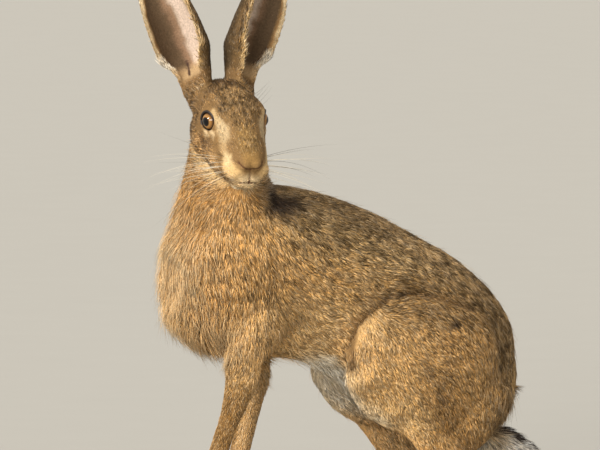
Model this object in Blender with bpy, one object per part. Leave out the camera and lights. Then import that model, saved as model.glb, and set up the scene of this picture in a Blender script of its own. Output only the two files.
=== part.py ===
"""A life-size model of a brown hare, crouched on its hind legs with the chest raised.

The body faces -X, its left side is -Y and +Z is up. The head is turned to the left.
Lengths in the tables are millimetres, angles are degrees, and meshes are in metres.
The hare is modelled whole, from lofted shells fused into one skin, and parted by thin cuts.
"""

import math

import bmesh
import bpy
from mathutils import Matrix, Vector
from mathutils.bvhtree import BVHTree

MM = 0.001
GAP = 0.3
PATH_STEPS = 5
RING_SIDES = 28

# The head stands on the middle point between the eyes, in a frame of its own:
# a runs forward along the skull, s to the hare's left, h up from the skull.
EYE_MIDDLE = Vector((-120, -43, 341))
HEAD_YAW = 6
HEAD_PITCH = 36
EYE_RADIUS = 9.8
EYE_SIDE = 19.2
EYE_TURN = 67
EYE_RISE = 8
LID_THICKNESS = 1.7
LID_OPENING = 8.5

# The parting plane between head and neck, and that between neck and torso.
NECK_TOP = (-38, -12)
NECK_TOP_NORMAL = (0.74, 0.67)
NECK_BASE = Vector((-112, 0, 262))
NECK_BASE_NORMAL = Vector((-0.40, 0, 0.92))

# Ears: the root's place behind and above the eyes, and for the right ear (-1) and the left ear
# (1) the root's place to the side, the splay to the side, the lean to the back and how far the
# ear opens sideways.
EAR_LENGTH = 121
EAR_ROOT = (-31, 24)
EAR_STANCES = {-1: (18.3, 20, 16, 43), 1: (11.3, 19, 4, 33)}
EAR_STUB = 22
EAR_STUB_TOP = 5

HIP_SPREAD = 55
KNEE_BACK_RIGHT = 12
FORE_LEFT_Y = -38
FORE_RIGHT_Y = 34

# Trunk: x, z, half width, half height of each ring, from breast to rump.
TRUNK = (
    (-171, 216, 10, 14),
    (-166, 216, 27, 38),
    (-152, 214, 44, 60),
    (-126, 211, 55, 74),
    (-90, 208, 59, 79),
    (-50, 204, 58, 77),
    (-8, 192, 58, 75),
    (32, 173, 60, 74),
    (66, 152, 62, 76),
    (94, 130, 60, 74),
    (112, 106, 52, 66),
    (129, 84, 40, 50),
    (139, 68, 16, 26),
)

# Neck: x, y, z, half length and half width of each level ring, from the shoulders up.
NECK = (
    (-92, 0, 200, 66, 54),
    (-100, 0, 235, 61, 53),
    (-108, -1, 262, 50, 48),
    (-112, -3, 288, 38, 41),
    (-115, -4, 311, 29, 33),
    (-116, -3, 332, 23, 26),
    (-116, -2, 346, 12, 14),
)

# Skull and muzzle: a, h of the top, h of the bottom, half width of each ring.
SKULL = (
    (-55, 1, -12, 6),
    (-51, 9, -22, 16),
    (-42, 16, -35, 23),
    (-28, 21, -45, 28),
    (-12, 23.5, -51, 30),
    (2, 22.5, -53, 29.5),
    (14, 19, -51, 26.5),
    (27, 14.5, -46, 23.5),
    (39, 9.5, -40.5, 21.5),
    (49, 4.5, -36, 19),
    (56, -1.5, -31, 15),
    (60.5, -9, -21, 7),
)

# Soft forms of the face: centre a, s, h and the three radii, on both sides.
FACE_FORMS = (
    ("cheek", (-12, 17, -24), (24, 15, 24)),
    ("brow", (-5, 16, 9), (16, 9.5, 6)),
    ("whisker_pad", (46, 10, -16), (14, 11, 9.5)),
    ("nose_side", (54, 5, -5), (7, 6.5, 5)),
    ("lower_lip", (45, 5, -30), (12, 8, 6)),
)

HIND_LEG = (
    (-4, 126, 22, 20),
    (6, 118, 25, 22),
    (27, 100, 22, 19),
    (50, 74, 19, 15.5),
    (69, 50, 17, 12.5),
    (90, 28, 16, 11.5),
    (101, 14, 14, 11),
)
THIGH_CENTRE = (56, 47, 126)
THIGH_RADII = (76, 36, 65)
BUTTOCK_CENTRE = (98, 36, 97)
BUTTOCK_RADII = (42, 36, 56)

# Hind foot: x, z, half width and half height, from heel to toes.
HIND_FOOT = (
    (120, 10, 6, 6),
    (113, 11, 11, 12),
    (95, 10, 12, 12),
    (60, 9, 12.5, 11),
    (25, 8, 14.5, 10.5),
    (-2, 8, 17, 10),
    (-16, 7.5, 16, 9),
    (-24, 7, 10, 6),
)
HIND_TOES = ((-11.5, -24), (-4, -32), (4, -32), (11.5, -25))

# Fore legs: x, z, half length and half width of each ring, from the shoulder down.
FORE_LEG_LEFT = (
    (-88, 176, 30, 19),
    (-102, 154, 25, 18),
    (-109, 136, 20, 17),
    (-111, 118, 16.5, 14),
    (-117, 98, 12.5, 12),
    (-124, 80, 10, 10),
    (-134, 54, 9.5, 9.5),
    (-143, 30, 9.5, 10),
    (-149, 14, 10, 11),
    (-150, 6, 8, 9),
)
FORE_LEG_RIGHT = (
    (-72, 172, 30, 19),
    (-70, 148, 24, 18),
    (-67, 126, 18, 15),
    (-68, 104, 14, 13),
    (-73, 78, 11, 11),
    (-79, 52, 10, 10),
    (-86, 30, 9.5, 10),
    (-91, 14, 10, 11),
    (-92, 6, 8, 9),
)
# Paw rings ahead of the ankle: step forward, z, half width, half height.
PAW = (
    (-10, 8, 6, 6),
    (-5, 10, 11, 10),
    (6, 9, 13.5, 10),
    (16, 7.5, 14, 8.5),
    (22, 6.5, 9, 6),
)
PAW_TOES = ((-9.5, 20), (-3.4, 26), (3.4, 26), (9.5, 21))
TOE_RADIUS = 5.4

# Tail: x, z, half width and half height, from the root to the tip on the floor.
TAIL = (
    (120, 62, 12, 12),
    (134, 55, 17, 17),
    (150, 46, 20, 21),
    (167, 36, 20, 21),
    (183, 27, 17, 18),
    (196, 19, 11.5, 12),
    (203, 15, 5, 6),
)

# Ear rings: share of the length, arc radius, angles of the arc from the back to the outer and
# the inner rim, thickness, cup share, and shift of the middle outward and to the opening.
EAR_RINGS = (
    (0.00, 12.9, 114, 118, 4.0, 0.00, 4.2, 0.9),
    (0.07, 14.2, 114, 127, 3.6, 0.25, 3.0, -0.4),
    (0.14, 15.7, 115, 136, 3.2, 0.80, 1.7, -1.3),
    (0.21, 18.2, 108, 133, 2.8, 1.00, 1.2, -1.5),
    (0.29, 23.3, 108, 120, 2.6, 1.00, 1.5, 0.9),
    (0.38, 23.8, 110, 112, 2.4, 1.00, 0.8, 2.7),
    (0.50, 23.4, 110, 106, 2.3, 1.00, -0.2, 4.6),
    (0.62, 22.2, 108, 101, 2.2, 1.00, -1.3, 6.7),
    (0.74, 20.3, 101, 93, 2.1, 1.00, -1.6, 6.9),
    (0.84, 17.1, 96, 86, 1.9, 1.00, -1.4, 5.1),
    (0.92, 11.8, 91, 82, 1.7, 1.00, -2.0, 2.3),
    (0.97, 7.3, 88, 82, 1.5, 1.00, -1.9, -0.2),
    (1.00, 2.8, 89, 86, 1.2, 1.00, -1.8, -2.3),
)
EAR_ARC_POINTS = 12
EAR_RING_STEPS = 2
EAR_HOLLOW = 0.97

# Eye opening: step out along the eye's axis, half width and half height over the opening's.
OPENING = (
    (1, 0.80, 0.72),
    (5, 0.98, 0.88),
    (8, 1.04, 0.94),
    (18, 1.30, 1.20),
)

# Line of the mouth and cleft, in the skull's frame, and the radius of their grooves.
MOUTH_HALF_ANGLE = 62
MOUTH_CORNER_HEIGHT = -26
MOUTH_RISE = 6
MOUTH_CENTRE_A = 36
CLEFT_TOP = -9.5
MOUTH_RADIUS = 0.9
CLEFT_RADIUS = 0.8
MOUTH_STEPS = 16
MOUTH_RAY_LENGTH = 60
RAY_START_A = 120
CLEFT_STEPS = 5
NOSTRIL = (58.5, 6.6, -4.8)
NOSTRIL_RADII = (4.0, 1.0, 5.2)
NOSTRIL_TILT = 48

# The cut round a hind leg: an arc over the thigh, then down to the floor, seen from the side.
THIGH_CUT_RADII = (81, 69)
THIGH_CUT_INNER = 31
THIGH_CUT_ARC = (-20, 184)
THIGH_CUT_FORWARD = 60
CUT_OUTER = 140
FLOOR_BELOW = -20
CUT_ARC_STEPS = 32
HEAD_BOX_REACH = (70, 82)
HEAD_BOX_DEPTH = 150
# The round cut that clears an ear from the head: height above the root, radius.
EAR_CUT = ((-0.15, 15.4), (12, 16.6), (26, 20), (44, 26))
NECK_CUT_REACH = (120, 120)
NECK_CUT_DEPTH = 140
TAIL_CUT_MIDDLE = Vector((138, 0, 54))
TAIL_CUT_NORMAL = Vector((0.86, 0, -0.5))
TAIL_CUT_REACH = (40, 45)
TAIL_CUT_DEPTH = 120
FOOT_CUT_MIDDLE = Vector((92, 0, 27))
FOOT_CUT_NORMAL = Vector((-0.35, 0, -1))
FOOT_CUT_REACH = (120, 200)
FOOT_CUT_DEPTH = 120
# The fore legs are cut by upright boxes: their front, back, side and top.
FORE_CUT_FRONT = -220
FORE_CUT_BACK = -43
FORE_CUT_SIDE = 90
FORE_CUT_TOP = 126
PAW_CUT_TOP = 25
SOLE_LOW = (-400, -200, -60)
SOLE_HIGH = (400, 200, 0)

BODY_VOXEL = 2.4
HEAD_VOXEL = 1.1
BODY_SMOOTHING = 14
HEAD_SMOOTHING = 9
BODY_TRIANGLES = 5800
HEAD_TRIANGLES = 3000

WORLD_AXES = (Vector((1, 0, 0)), Vector((0, 1, 0)), Vector((0, 0, 1)))

# Finish of each kind of node: name start, colour, roughness.
FINISHES = (
    ("eye", (0.45, 0.22, 0.05), 0.08),
    ("ear", (0.32, 0.20, 0.10), 0.85),
    ("tail", (0.55, 0.50, 0.45), 0.9),
    ("fore", (0.42, 0.25, 0.12), 0.85),
    ("hind", (0.40, 0.26, 0.14), 0.85),
    ("neck", (0.45, 0.28, 0.13), 0.85),
    ("head", (0.36, 0.23, 0.12), 0.85),
    ("torso", (0.30, 0.20, 0.11), 0.9),
)


def clear_scene():
    for old in list(bpy.data.objects):
        bpy.data.objects.remove(old, do_unlink=True)


def vector_mix(a, b, share):
    return a * (1 - share) + b * share


def head_axes():
    """The skull's forward, left and up directions in the hare's frame."""
    yaw = math.radians(HEAD_YAW)
    pitch = math.radians(HEAD_PITCH)
    face = Vector((-math.sin(yaw), -math.cos(yaw), 0))
    left = Vector((math.cos(yaw), -math.sin(yaw), 0))
    up = Vector((0, 0, 1))
    forward = face * math.cos(pitch) - up * math.sin(pitch)
    crown = face * math.sin(pitch) + up * math.cos(pitch)
    return face, forward, left, crown


FACE, SKULL_FORWARD, SKULL_LEFT, SKULL_UP = head_axes()


def head_point(a, s, h):
    """A point given in the skull's frame."""
    return EYE_MIDDLE + SKULL_FORWARD * a + SKULL_LEFT * s + SKULL_UP * h


def level_head_point(forward, s, up):
    """A point given from the eyes' middle by level distances, not along the skull."""
    return EYE_MIDDLE + FACE * forward + SKULL_LEFT * s + Vector((0, 0, up))


def catmull_rom(rows, steps):
    """Rows of numbers, made finer by a smooth curve through them."""
    padded = [rows[0], *rows, rows[-1]]
    fine = []
    for index in range(len(rows) - 1):
        p0, p1, p2, p3 = padded[index : index + 4]
        for step in range(steps):
            t = step / steps
            fine.append(
                tuple(
                    0.5
                    * (
                        2 * b
                        + (c - a) * t
                        + (2 * a - 5 * b + 4 * c - d) * t * t
                        + (3 * b - a - 3 * c + d) * t**3
                    )
                    for a, b, c, d in zip(p0, p1, p2, p3)
                )
            )
    fine.append(tuple(rows[-1]))
    return fine


def new_object(name, mesh_data):
    shape = bpy.data.objects.new(name, mesh_data)
    bpy.context.scene.collection.objects.link(shape)
    return shape


def object_from_bmesh(name, shape_mesh):
    """An object in metres, from a bmesh in millimetres with its faces turned outward."""
    bmesh.ops.recalc_face_normals(shape_mesh, faces=shape_mesh.faces)
    bmesh.ops.scale(shape_mesh, vec=(MM, MM, MM), verts=shape_mesh.verts)
    data = bpy.data.meshes.new(name)
    shape_mesh.to_mesh(data)
    shape_mesh.free()
    return new_object(name, data)


def skin_rings(name, rings):
    """A closed shell through rings of points, each with the same number of points."""
    shell = bmesh.new()
    loops = [[shell.verts.new(point) for point in ring] for ring in rings]
    count = len(loops[0])
    for lower, upper in zip(loops, loops[1:]):
        for i in range(count):
            j = (i + 1) % count
            shell.faces.new((lower[i], lower[j], upper[j], upper[i]))
    shell.faces.new(loops[0][::-1])
    shell.faces.new(loops[-1])
    bmesh.ops.triangulate(shell, faces=[f for f in shell.faces if len(f.verts) > 4])
    return object_from_bmesh(name, shell)


def loft(name, stations, side):
    """A shell along stations of centre, half width along side and half height across it."""
    rows = catmull_rom([(*centre, width, height) for centre, width, height in stations], PATH_STEPS)
    centres = [Vector(row[:3]) for row in rows]
    rings = []
    for index, row in enumerate(rows):
        before = centres[max(index - 1, 0)]
        after = centres[min(index + 1, len(centres) - 1)]
        along = (after - before).normalized()
        across = (side - along * side.dot(along)).normalized()
        rise = along.cross(across)
        rings.append(
            [
                centres[index]
                + across * (row[3] * math.cos(turn))
                + rise * (row[4] * math.sin(turn))
                for turn in (2 * math.pi * k / RING_SIDES for k in range(RING_SIDES))
            ]
        )
    return skin_rings(name, rings)


def ellipsoid(name, centre, radii, axes, segments=24):
    """An ellipsoid whose radii lie along the three axes."""
    ball = bmesh.new()
    bmesh.ops.create_uvsphere(ball, u_segments=segments, v_segments=segments // 2, radius=1)
    turn = Matrix([axis * radius for axis, radius in zip(axes, radii)]).transposed()
    bmesh.ops.transform(ball, matrix=Matrix.Translation(centre) @ turn.to_4x4(), verts=ball.verts)
    return object_from_bmesh(name, ball)


SKULL_AXES = (SKULL_FORWARD, SKULL_LEFT, SKULL_UP)


def trunk_shell():
    stations = [((x, 0, z), width, height) for x, z, width, height in TRUNK]
    return loft("trunk_shell", stations, WORLD_AXES[1])


def neck_shell():
    stations = [((x, y, z), width, length) for x, y, z, length, width in NECK]
    return loft("neck_shell", stations, WORLD_AXES[1])


def tail_shell():
    stations = [((x, 0, z), width, height) for x, z, width, height in TAIL]
    return loft("tail_shell", stations, WORLD_AXES[1])


def hind_leg_shells(side):
    """Thigh, shank, foot and toes on one side. The right knee is held further back."""
    y = side * HIP_SPREAD
    back = KNEE_BACK_RIGHT if side > 0 else 0
    hock = HIND_LEG[-1][0]
    shank = [
        ((x + back * (hock - x) / hock, y, z), width, length) for x, z, length, width in HIND_LEG
    ]
    foot = [((x, y, z), width, height) for x, z, width, height in HIND_FOOT]
    shells = [
        loft("shank_shell", shank, WORLD_AXES[1]),
        loft("foot_shell", foot, WORLD_AXES[1]),
    ]
    for centre, radii in ((THIGH_CENTRE, THIGH_RADII), (BUTTOCK_CENTRE, BUTTOCK_RADII)):
        middle = Vector((centre[0] + back / 2, side * centre[1], centre[2]))
        radii = (radii[0] - back / 2, radii[1], radii[2])
        shells.append(ellipsoid("thigh_shell", middle, radii, WORLD_AXES, 40))
    for across, reach in HIND_TOES:
        tip = Vector((reach, y + across, TOE_RADIUS))
        root = Vector((reach + 26, y + across * 0.8, TOE_RADIUS + 2))
        shells.append(toe_shell(root, tip))
    return shells


def toe_shell(root, tip):
    middle = vector_mix(root, tip, 0.7)
    stations = [
        (root, TOE_RADIUS * 0.6, TOE_RADIUS * 0.7),
        (middle, TOE_RADIUS, TOE_RADIUS * 1.15),
        (vector_mix(middle, tip, 0.7), TOE_RADIUS * 0.95, TOE_RADIUS * 0.95),
        (tip, TOE_RADIUS * 0.4, TOE_RADIUS * 0.4),
    ]
    return loft("toe_shell", stations, WORLD_AXES[1])


def fore_leg_shells(table, y):
    """Fore leg, paw and toes, from a table of rings."""
    leg = [((x, y, z), width, length) for x, z, length, width in table]
    ankle = table[-1][0]
    paw = [((ankle - step, y, z), width, height) for step, z, width, height in PAW]
    shells = [loft("fore_leg_shell", leg, WORLD_AXES[1]), loft("paw_shell", paw, WORLD_AXES[1])]
    for across, reach in PAW_TOES:
        tip = Vector((ankle - reach, y + across, TOE_RADIUS))
        root = Vector((ankle - reach + 20, y + across * 0.8, TOE_RADIUS + 2))
        shells.append(toe_shell(root, tip))
    return shells


def skull_shell():
    stations = []
    for a, top, bottom, width in SKULL:
        centre = head_point(a, 0, (top + bottom) / 2)
        stations.append((centre, width, (top - bottom) / 2))
    return loft("skull_shell", stations, SKULL_LEFT)


def head_shells():
    """Skull and muzzle, the soft forms of the face, and the stubs that carry the ears."""
    shells = [skull_shell()]
    for side in (-1, 1):
        for name, (a, s, h), radii in FACE_FORMS:
            shells.append(ellipsoid(name, head_point(a, side * s, h), radii, SKULL_AXES))
        lid_radius = EYE_RADIUS + LID_THICKNESS
        radii = (lid_radius, lid_radius, lid_radius)
        shells.append(ellipsoid("lid_ball", eye_centre(side), radii, SKULL_AXES))
        shells.append(ear_stub_shell(side))
    return shells


def eye_centre(side):
    return head_point(0, side * EYE_SIDE, 0)


def eye_axis(side):
    """The direction an eye looks in: to the side, a little forward and up."""
    turn = math.radians(EYE_TURN)
    rise = math.radians(EYE_RISE)
    level = SKULL_FORWARD * math.cos(turn) + SKULL_LEFT * (side * math.sin(turn))
    return (level * math.cos(rise) + SKULL_UP * math.sin(rise)).normalized()


def ear_frame(side):
    """Root of an ear, and its directions to the tip, the opening and the outer rim."""
    apart, splay, lean, opening_turn = EAR_STANCES[side]
    splay = SKULL_LEFT * (side * math.tan(math.radians(splay)))
    lean = FACE * math.tan(math.radians(lean))
    opening_turn = math.radians(opening_turn)
    root = level_head_point(EAR_ROOT[0], side * apart, EAR_ROOT[1])
    along = (Vector((0, 0, 1)) + splay - lean).normalized()
    looking = FACE * math.cos(opening_turn) + SKULL_LEFT * (side * math.sin(opening_turn))
    opening = (looking - along * looking.dot(along)).normalized()
    return root, along, opening, along.cross(opening) * side


def ear_ring(frame, row):
    """One closed loop of an ear: round its back, over the rim and through its cup."""
    root, along, opening, out = frame
    share, radius, outer_angle, inner_angle, thickness, cup, shift, push = row
    middle = root + along * (share * EAR_LENGTH + GAP / 2) + out * shift + opening * push
    start = -math.radians(inner_angle)
    end = math.radians(outer_angle)
    hollow_radius = radius - min(thickness, radius * 0.6)
    points = []
    for k in range(EAR_ARC_POINTS):
        turn = start + (end - start) * k / (EAR_ARC_POINTS - 1)
        points.append(middle + (out * math.sin(turn) - opening * math.cos(turn)) * radius)
    for k in range(EAR_ARC_POINTS):
        share_round = (k + 0.5) / EAR_ARC_POINTS
        hollow_turn = EAR_HOLLOW * (end + (start - end) * share_round)
        solid_turn = end + (2 * math.pi + start - end) * share_round
        hollow = (out * math.sin(hollow_turn) - opening * math.cos(hollow_turn)) * hollow_radius
        solid = (out * math.sin(solid_turn) - opening * math.cos(solid_turn)) * radius
        points.append(middle + vector_mix(solid, hollow, cup))
    return points


def ear(name, side):
    frame = ear_frame(side)
    rows = catmull_rom(EAR_RINGS, EAR_RING_STEPS)
    return skin_rings(name, [ear_ring(frame, row) for row in rows])


def ear_base(side):
    """The middle of an ear's lowest ring."""
    root, _, opening, out = ear_frame(side)
    shift, push = EAR_RINGS[0][-2:]
    return root + out * shift + opening * push


def ear_stub_shell(side):
    """The root of an ear on the head, which reaches past the ear's parting plane."""
    root, along, _, out = ear_frame(side)
    middle = ear_base(side)
    radius = EAR_RINGS[0][1]
    stations = [
        (root - along * EAR_STUB, radius * 1.15, radius * 1.3),
        (vector_mix(root, middle, 0.6) - along * EAR_STUB * 0.4, radius * 1.12, radius * 1.15),
        (middle, radius, radius),
        (middle + along * EAR_STUB_TOP, radius, radius),
    ]
    return loft("ear_stub", stations, out)


def ear_cutter(side):
    """A round plug with a flat end, which parts an ear from the head."""
    _, along, _, out = ear_frame(side)
    stations = [(ear_base(side) + along * rise, radius, radius) for rise, radius in EAR_CUT]
    return as_cutter(loft("ear_cutter", stations, out))


def evaluated_copy(shape, name):
    """The shape as its modifiers leave it, as a plain object, with the old one removed."""
    graph = bpy.context.evaluated_depsgraph_get()
    data = bpy.data.meshes.new_from_object(shape.evaluated_get(graph))
    bpy.data.objects.remove(shape, do_unlink=True)
    data.name = name
    return new_object(name, data)


def fuse(name, shells, voxel, smoothing, triangles):
    """One closed skin round overlapping shells, smoothed and thinned to a triangle count."""
    joined = bmesh.new()
    for shell in shells:
        joined.from_mesh(shell.data)
        bpy.data.objects.remove(shell, do_unlink=True)
    data = bpy.data.meshes.new(name)
    joined.to_mesh(data)
    joined.free()
    shape = new_object(name, data)
    remesh = shape.modifiers.new("Remesh", "REMESH")
    remesh.mode = "VOXEL"
    remesh.voxel_size = voxel * MM
    smooth = shape.modifiers.new("Smooth", "SMOOTH")
    smooth.factor = 0.5
    smooth.iterations = smoothing
    shape = evaluated_copy(shape, name)
    count = sum(len(face.vertices) - 2 for face in shape.data.polygons)
    thin = shape.modifiers.new("Decimate", "DECIMATE")
    thin.ratio = min(1.0, triangles / count)
    return evaluated_copy(shape, name)


def boolean(shape, cutter, operation, solver="EXACT"):
    """A copy of the shape, cut by a cutter or kept inside it."""
    copy = new_object("cut", shape.data.copy())
    modifier = copy.modifiers.new("Boolean", "BOOLEAN")
    modifier.operation = operation
    modifier.solver = solver
    modifier.object = cutter
    return largest_body(evaluated_copy(copy, "cut"))


def largest_body(shape):
    """Keeps the closed surface of the greatest volume and drops the rest."""
    mesh = bmesh.new()
    mesh.from_mesh(shape.data)
    bmesh.ops.triangulate(mesh, faces=mesh.faces)
    unseen = set(mesh.faces)
    bodies = []
    while unseen:
        stack = [unseen.pop()]
        body = set(stack)
        while stack:
            for edge in stack.pop().edges:
                for face in edge.link_faces:
                    if face in unseen:
                        unseen.discard(face)
                        body.add(face)
                        stack.append(face)
        bodies.append(body)
    bodies.sort(key=lambda body: abs(body_volume(body)))
    for body in bodies[:-1]:
        bmesh.ops.delete(mesh, geom=list(body), context="FACES")
    loose = [vertex for vertex in mesh.verts if not vertex.link_faces]
    bmesh.ops.delete(mesh, geom=loose, context="VERTS")
    mesh.to_mesh(shape.data)
    mesh.free()
    return shape


def body_volume(faces):
    total = 0
    for face in faces:
        a, b, c = (vertex.co for vertex in face.verts)
        total += a.dot(b.cross(c)) / 6
    return total


def as_cutter(shape):
    shape.hide_render = True
    shape.display_type = "WIRE"
    return shape


def slab(centre, normal, reach, depth):
    """A box on the normal's side of a plane through the centre: half widths and depth."""
    normal = normal.normalized()
    side = WORLD_AXES[1] if abs(normal.y) < 0.7 else WORLD_AXES[0]
    across = (side - normal * side.dot(normal)).normalized()
    other = normal.cross(across)
    box = bmesh.new()
    bmesh.ops.create_cube(box, size=2)
    turn = Matrix((across * reach[0], other * reach[1], normal * (depth / 2))).transposed()
    place = Matrix.Translation(centre + normal * (depth / 2))
    bmesh.ops.transform(box, matrix=place @ turn.to_4x4(), verts=box.verts)
    return as_cutter(object_from_bmesh("slab", box))


def level_box(low, high):
    """An upright box between two corners."""
    box = bmesh.new()
    bmesh.ops.create_cube(box, size=1)
    low = Vector(low)
    high = Vector(high)
    size = high - low
    bmesh.ops.scale(box, vec=size, verts=box.verts)
    bmesh.ops.translate(box, vec=(low + high) / 2, verts=box.verts)
    return as_cutter(object_from_bmesh("level_box", box))


def hind_leg_cutter(side, grow):
    """An upright prism round one hind leg, its outline grown by a small amount."""
    rx = THIGH_CUT_RADII[0] + grow
    rz = THIGH_CUT_RADII[1] + grow
    start, end = THIGH_CUT_ARC
    outline = []
    for k in range(CUT_ARC_STEPS + 1):
        turn = math.radians(start + (end - start) * k / CUT_ARC_STEPS)
        x = THIGH_CENTRE[0] + rx * math.cos(turn)
        z = THIGH_CENTRE[2] + rz * math.sin(turn)
        outline.append((x, z))
    outline.append((outline[-1][0] - THIGH_CUT_FORWARD, FLOOR_BELOW))
    outline.append((outline[0][0], FLOOR_BELOW))
    inner = side * (THIGH_CUT_INNER - grow)
    outer = side * CUT_OUTER
    rings = [[(x, y, z) for x, z in outline] for y in (inner, outer)]
    return as_cutter(skin_rings("hind_leg_cutter", rings))


def part_off(whole, name, make_cutter):
    """Splits the whole by a cutter: the named piece inside it, and the rest outside it.

    The exact solver loses the body's skin at some of these cutters, so the other one cuts.
    """
    tight = make_cutter(-GAP / 2)
    wide = make_cutter(GAP / 2)
    piece = boolean(whole, tight, "INTERSECT", "MANIFOLD")
    rest = boolean(whole, wide, "DIFFERENCE", "MANIFOLD")
    rest_name = whole.name
    for used in (tight, wide, whole):
        bpy.data.objects.remove(used, do_unlink=True)
    piece.name = name
    rest.name = rest_name
    return piece, rest


def cut_away(shape, cutter, operation="DIFFERENCE"):
    """The shape after one cut, under its own name, with the cutter removed."""
    result = boolean(shape, cutter, operation)
    name = shape.name
    for used in (shape, cutter):
        bpy.data.objects.remove(used, do_unlink=True)
    result.name = name
    return result


def head_plane():
    """The middle and the normal of the cut between neck and head."""
    middle = level_head_point(NECK_TOP[0], 0, NECK_TOP[1])
    normal = (FACE * NECK_TOP_NORMAL[0] + WORLD_AXES[2] * NECK_TOP_NORMAL[1]).normalized()
    return middle, normal


def head_cutter(grow):
    middle, normal = head_plane()
    return slab(middle - normal * grow, normal, HEAD_BOX_REACH, HEAD_BOX_DEPTH)


def neck_cutter(grow):
    normal = NECK_BASE_NORMAL.normalized()
    return slab(NECK_BASE - normal * grow, normal, NECK_CUT_REACH, NECK_CUT_DEPTH)


def tail_cutter(grow):
    normal = TAIL_CUT_NORMAL.normalized()
    return slab(TAIL_CUT_MIDDLE - normal * grow, normal, TAIL_CUT_REACH, TAIL_CUT_DEPTH)


def fore_leg_cutter(side, grow):
    low_y, high_y = sorted((0, side * FORE_CUT_SIDE))
    low = (FORE_CUT_FRONT, low_y, FLOOR_BELOW)
    return level_box(low, (FORE_CUT_BACK, high_y, FORE_CUT_TOP + grow))


def paw_cutter(grow):
    low = (FORE_CUT_FRONT, -FORE_CUT_SIDE, FLOOR_BELOW)
    return level_box(low, (FORE_CUT_BACK, FORE_CUT_SIDE, PAW_CUT_TOP + grow))


def hind_foot_cutter(grow):
    normal = FOOT_CUT_NORMAL.normalized()
    return slab(FOOT_CUT_MIDDLE - normal * grow, normal, FOOT_CUT_REACH, FOOT_CUT_DEPTH)


def flat_sole(shape):
    """Cuts the shape flat at floor level."""
    return cut_away(shape, level_box(SOLE_LOW, SOLE_HIGH))


def body_shells():
    shells = [trunk_shell(), neck_shell(), tail_shell(), skull_shell()]
    for side in (-1, 1):
        shells += hind_leg_shells(side)
    shells += fore_leg_shells(FORE_LEG_LEFT, FORE_LEFT_Y)
    shells += fore_leg_shells(FORE_LEG_RIGHT, FORE_RIGHT_Y)
    return shells


def make_body():
    """Torso, neck, tail, legs and feet, as one skin parted into nodes."""
    nodes = []
    whole = fuse("torso", body_shells(), BODY_VOXEL, BODY_SMOOTHING, BODY_TRIANGLES)
    whole = flat_sole(whole)
    upper, rest = part_off(whole, "neck", neck_cutter)
    over, neck = part_off(upper, "over_neck", head_cutter)
    bpy.data.objects.remove(over, do_unlink=True)
    nodes.append(neck)
    tail, rest = part_off(rest, "tail", tail_cutter)
    nodes.append(tail)
    for side, word in ((-1, "left"), (1, "right")):
        leg, rest = part_off(rest, f"hind_leg_{word}", lambda grow: hind_leg_cutter(side, grow))
        foot, leg = part_off(leg, f"hind_foot_{word}", hind_foot_cutter)
        nodes += [leg, foot]
        leg, rest = part_off(rest, f"fore_leg_{word}", lambda grow: fore_leg_cutter(side, grow))
        paw, leg = part_off(leg, f"fore_paw_{word}", paw_cutter)
        nodes += [leg, paw]
    nodes.append(rest)
    return nodes


def groove(surface, rays, radius, name):
    """A thin tube whose path runs just under the surface, along rays cast onto it."""
    path = []
    for start, direction in rays:
        hit = surface.ray_cast(start * MM, direction)[0]
        if hit is not None:
            path.append(hit / MM)
    rings = []
    for index, point in enumerate(path):
        before = path[max(index - 1, 0)]
        after = path[min(index + 1, len(path) - 1)]
        along = (after - before).normalized()
        side = along.cross(SKULL_FORWARD).normalized()
        rise = along.cross(side)
        end = 0.35 if index in (0, len(path) - 1) else 1.0
        rings.append(
            [
                point + (side * math.cos(turn) + rise * math.sin(turn)) * (radius * end)
                for turn in (math.pi * k / 3 for k in range(6))
            ]
        )
    return as_cutter(skin_rings(name, rings))


def mouth_rays():
    """Rays onto the muzzle along the line of the mouth, from corner to corner."""
    rays = []
    for k in range(MOUTH_STEPS + 1):
        share = 2 * k / MOUTH_STEPS - 1
        turn = math.radians(MOUTH_HALF_ANGLE * share)
        height = MOUTH_CORNER_HEIGHT + MOUTH_RISE * (1 - abs(share) ** 1.5)
        outward = SKULL_FORWARD * math.cos(turn) + SKULL_LEFT * math.sin(turn)
        start = head_point(MOUTH_CENTRE_A, 0, height) + outward * MOUTH_RAY_LENGTH
        rays.append((start, -outward))
    return rays


def cleft_rays():
    """Rays down the cleft from the nose to the mouth."""
    rays = []
    bottom = MOUTH_CORNER_HEIGHT + MOUTH_RISE
    for k in range(CLEFT_STEPS + 1):
        height = CLEFT_TOP + (bottom - CLEFT_TOP) * k / CLEFT_STEPS
        rays.append((head_point(RAY_START_A, 0, height), -SKULL_FORWARD))
    return rays


def nostril_cutter(side):
    """A slanted slit beside the tip of the nose."""
    tilt = math.radians(NOSTRIL_TILT)
    rise = (SKULL_UP * math.cos(tilt) + SKULL_LEFT * (side * math.sin(tilt))).normalized()
    across = SKULL_FORWARD.cross(rise).normalized()
    centre = head_point(NOSTRIL[0], side * NOSTRIL[1], NOSTRIL[2])
    ball = ellipsoid("nostril", centre, NOSTRIL_RADII, (SKULL_FORWARD, across, rise), 12)
    return as_cutter(ball)


def eye_opening_cutter(side):
    """A slightly flared plug along an eye's axis, which opens the lids."""
    axis = eye_axis(side)
    centre = eye_centre(side)
    stations = [
        (centre + axis * out, LID_OPENING * wide, LID_OPENING * tall) for out, wide, tall in OPENING
    ]
    return as_cutter(loft("eye_opening", stations, SKULL_FORWARD))


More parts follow.
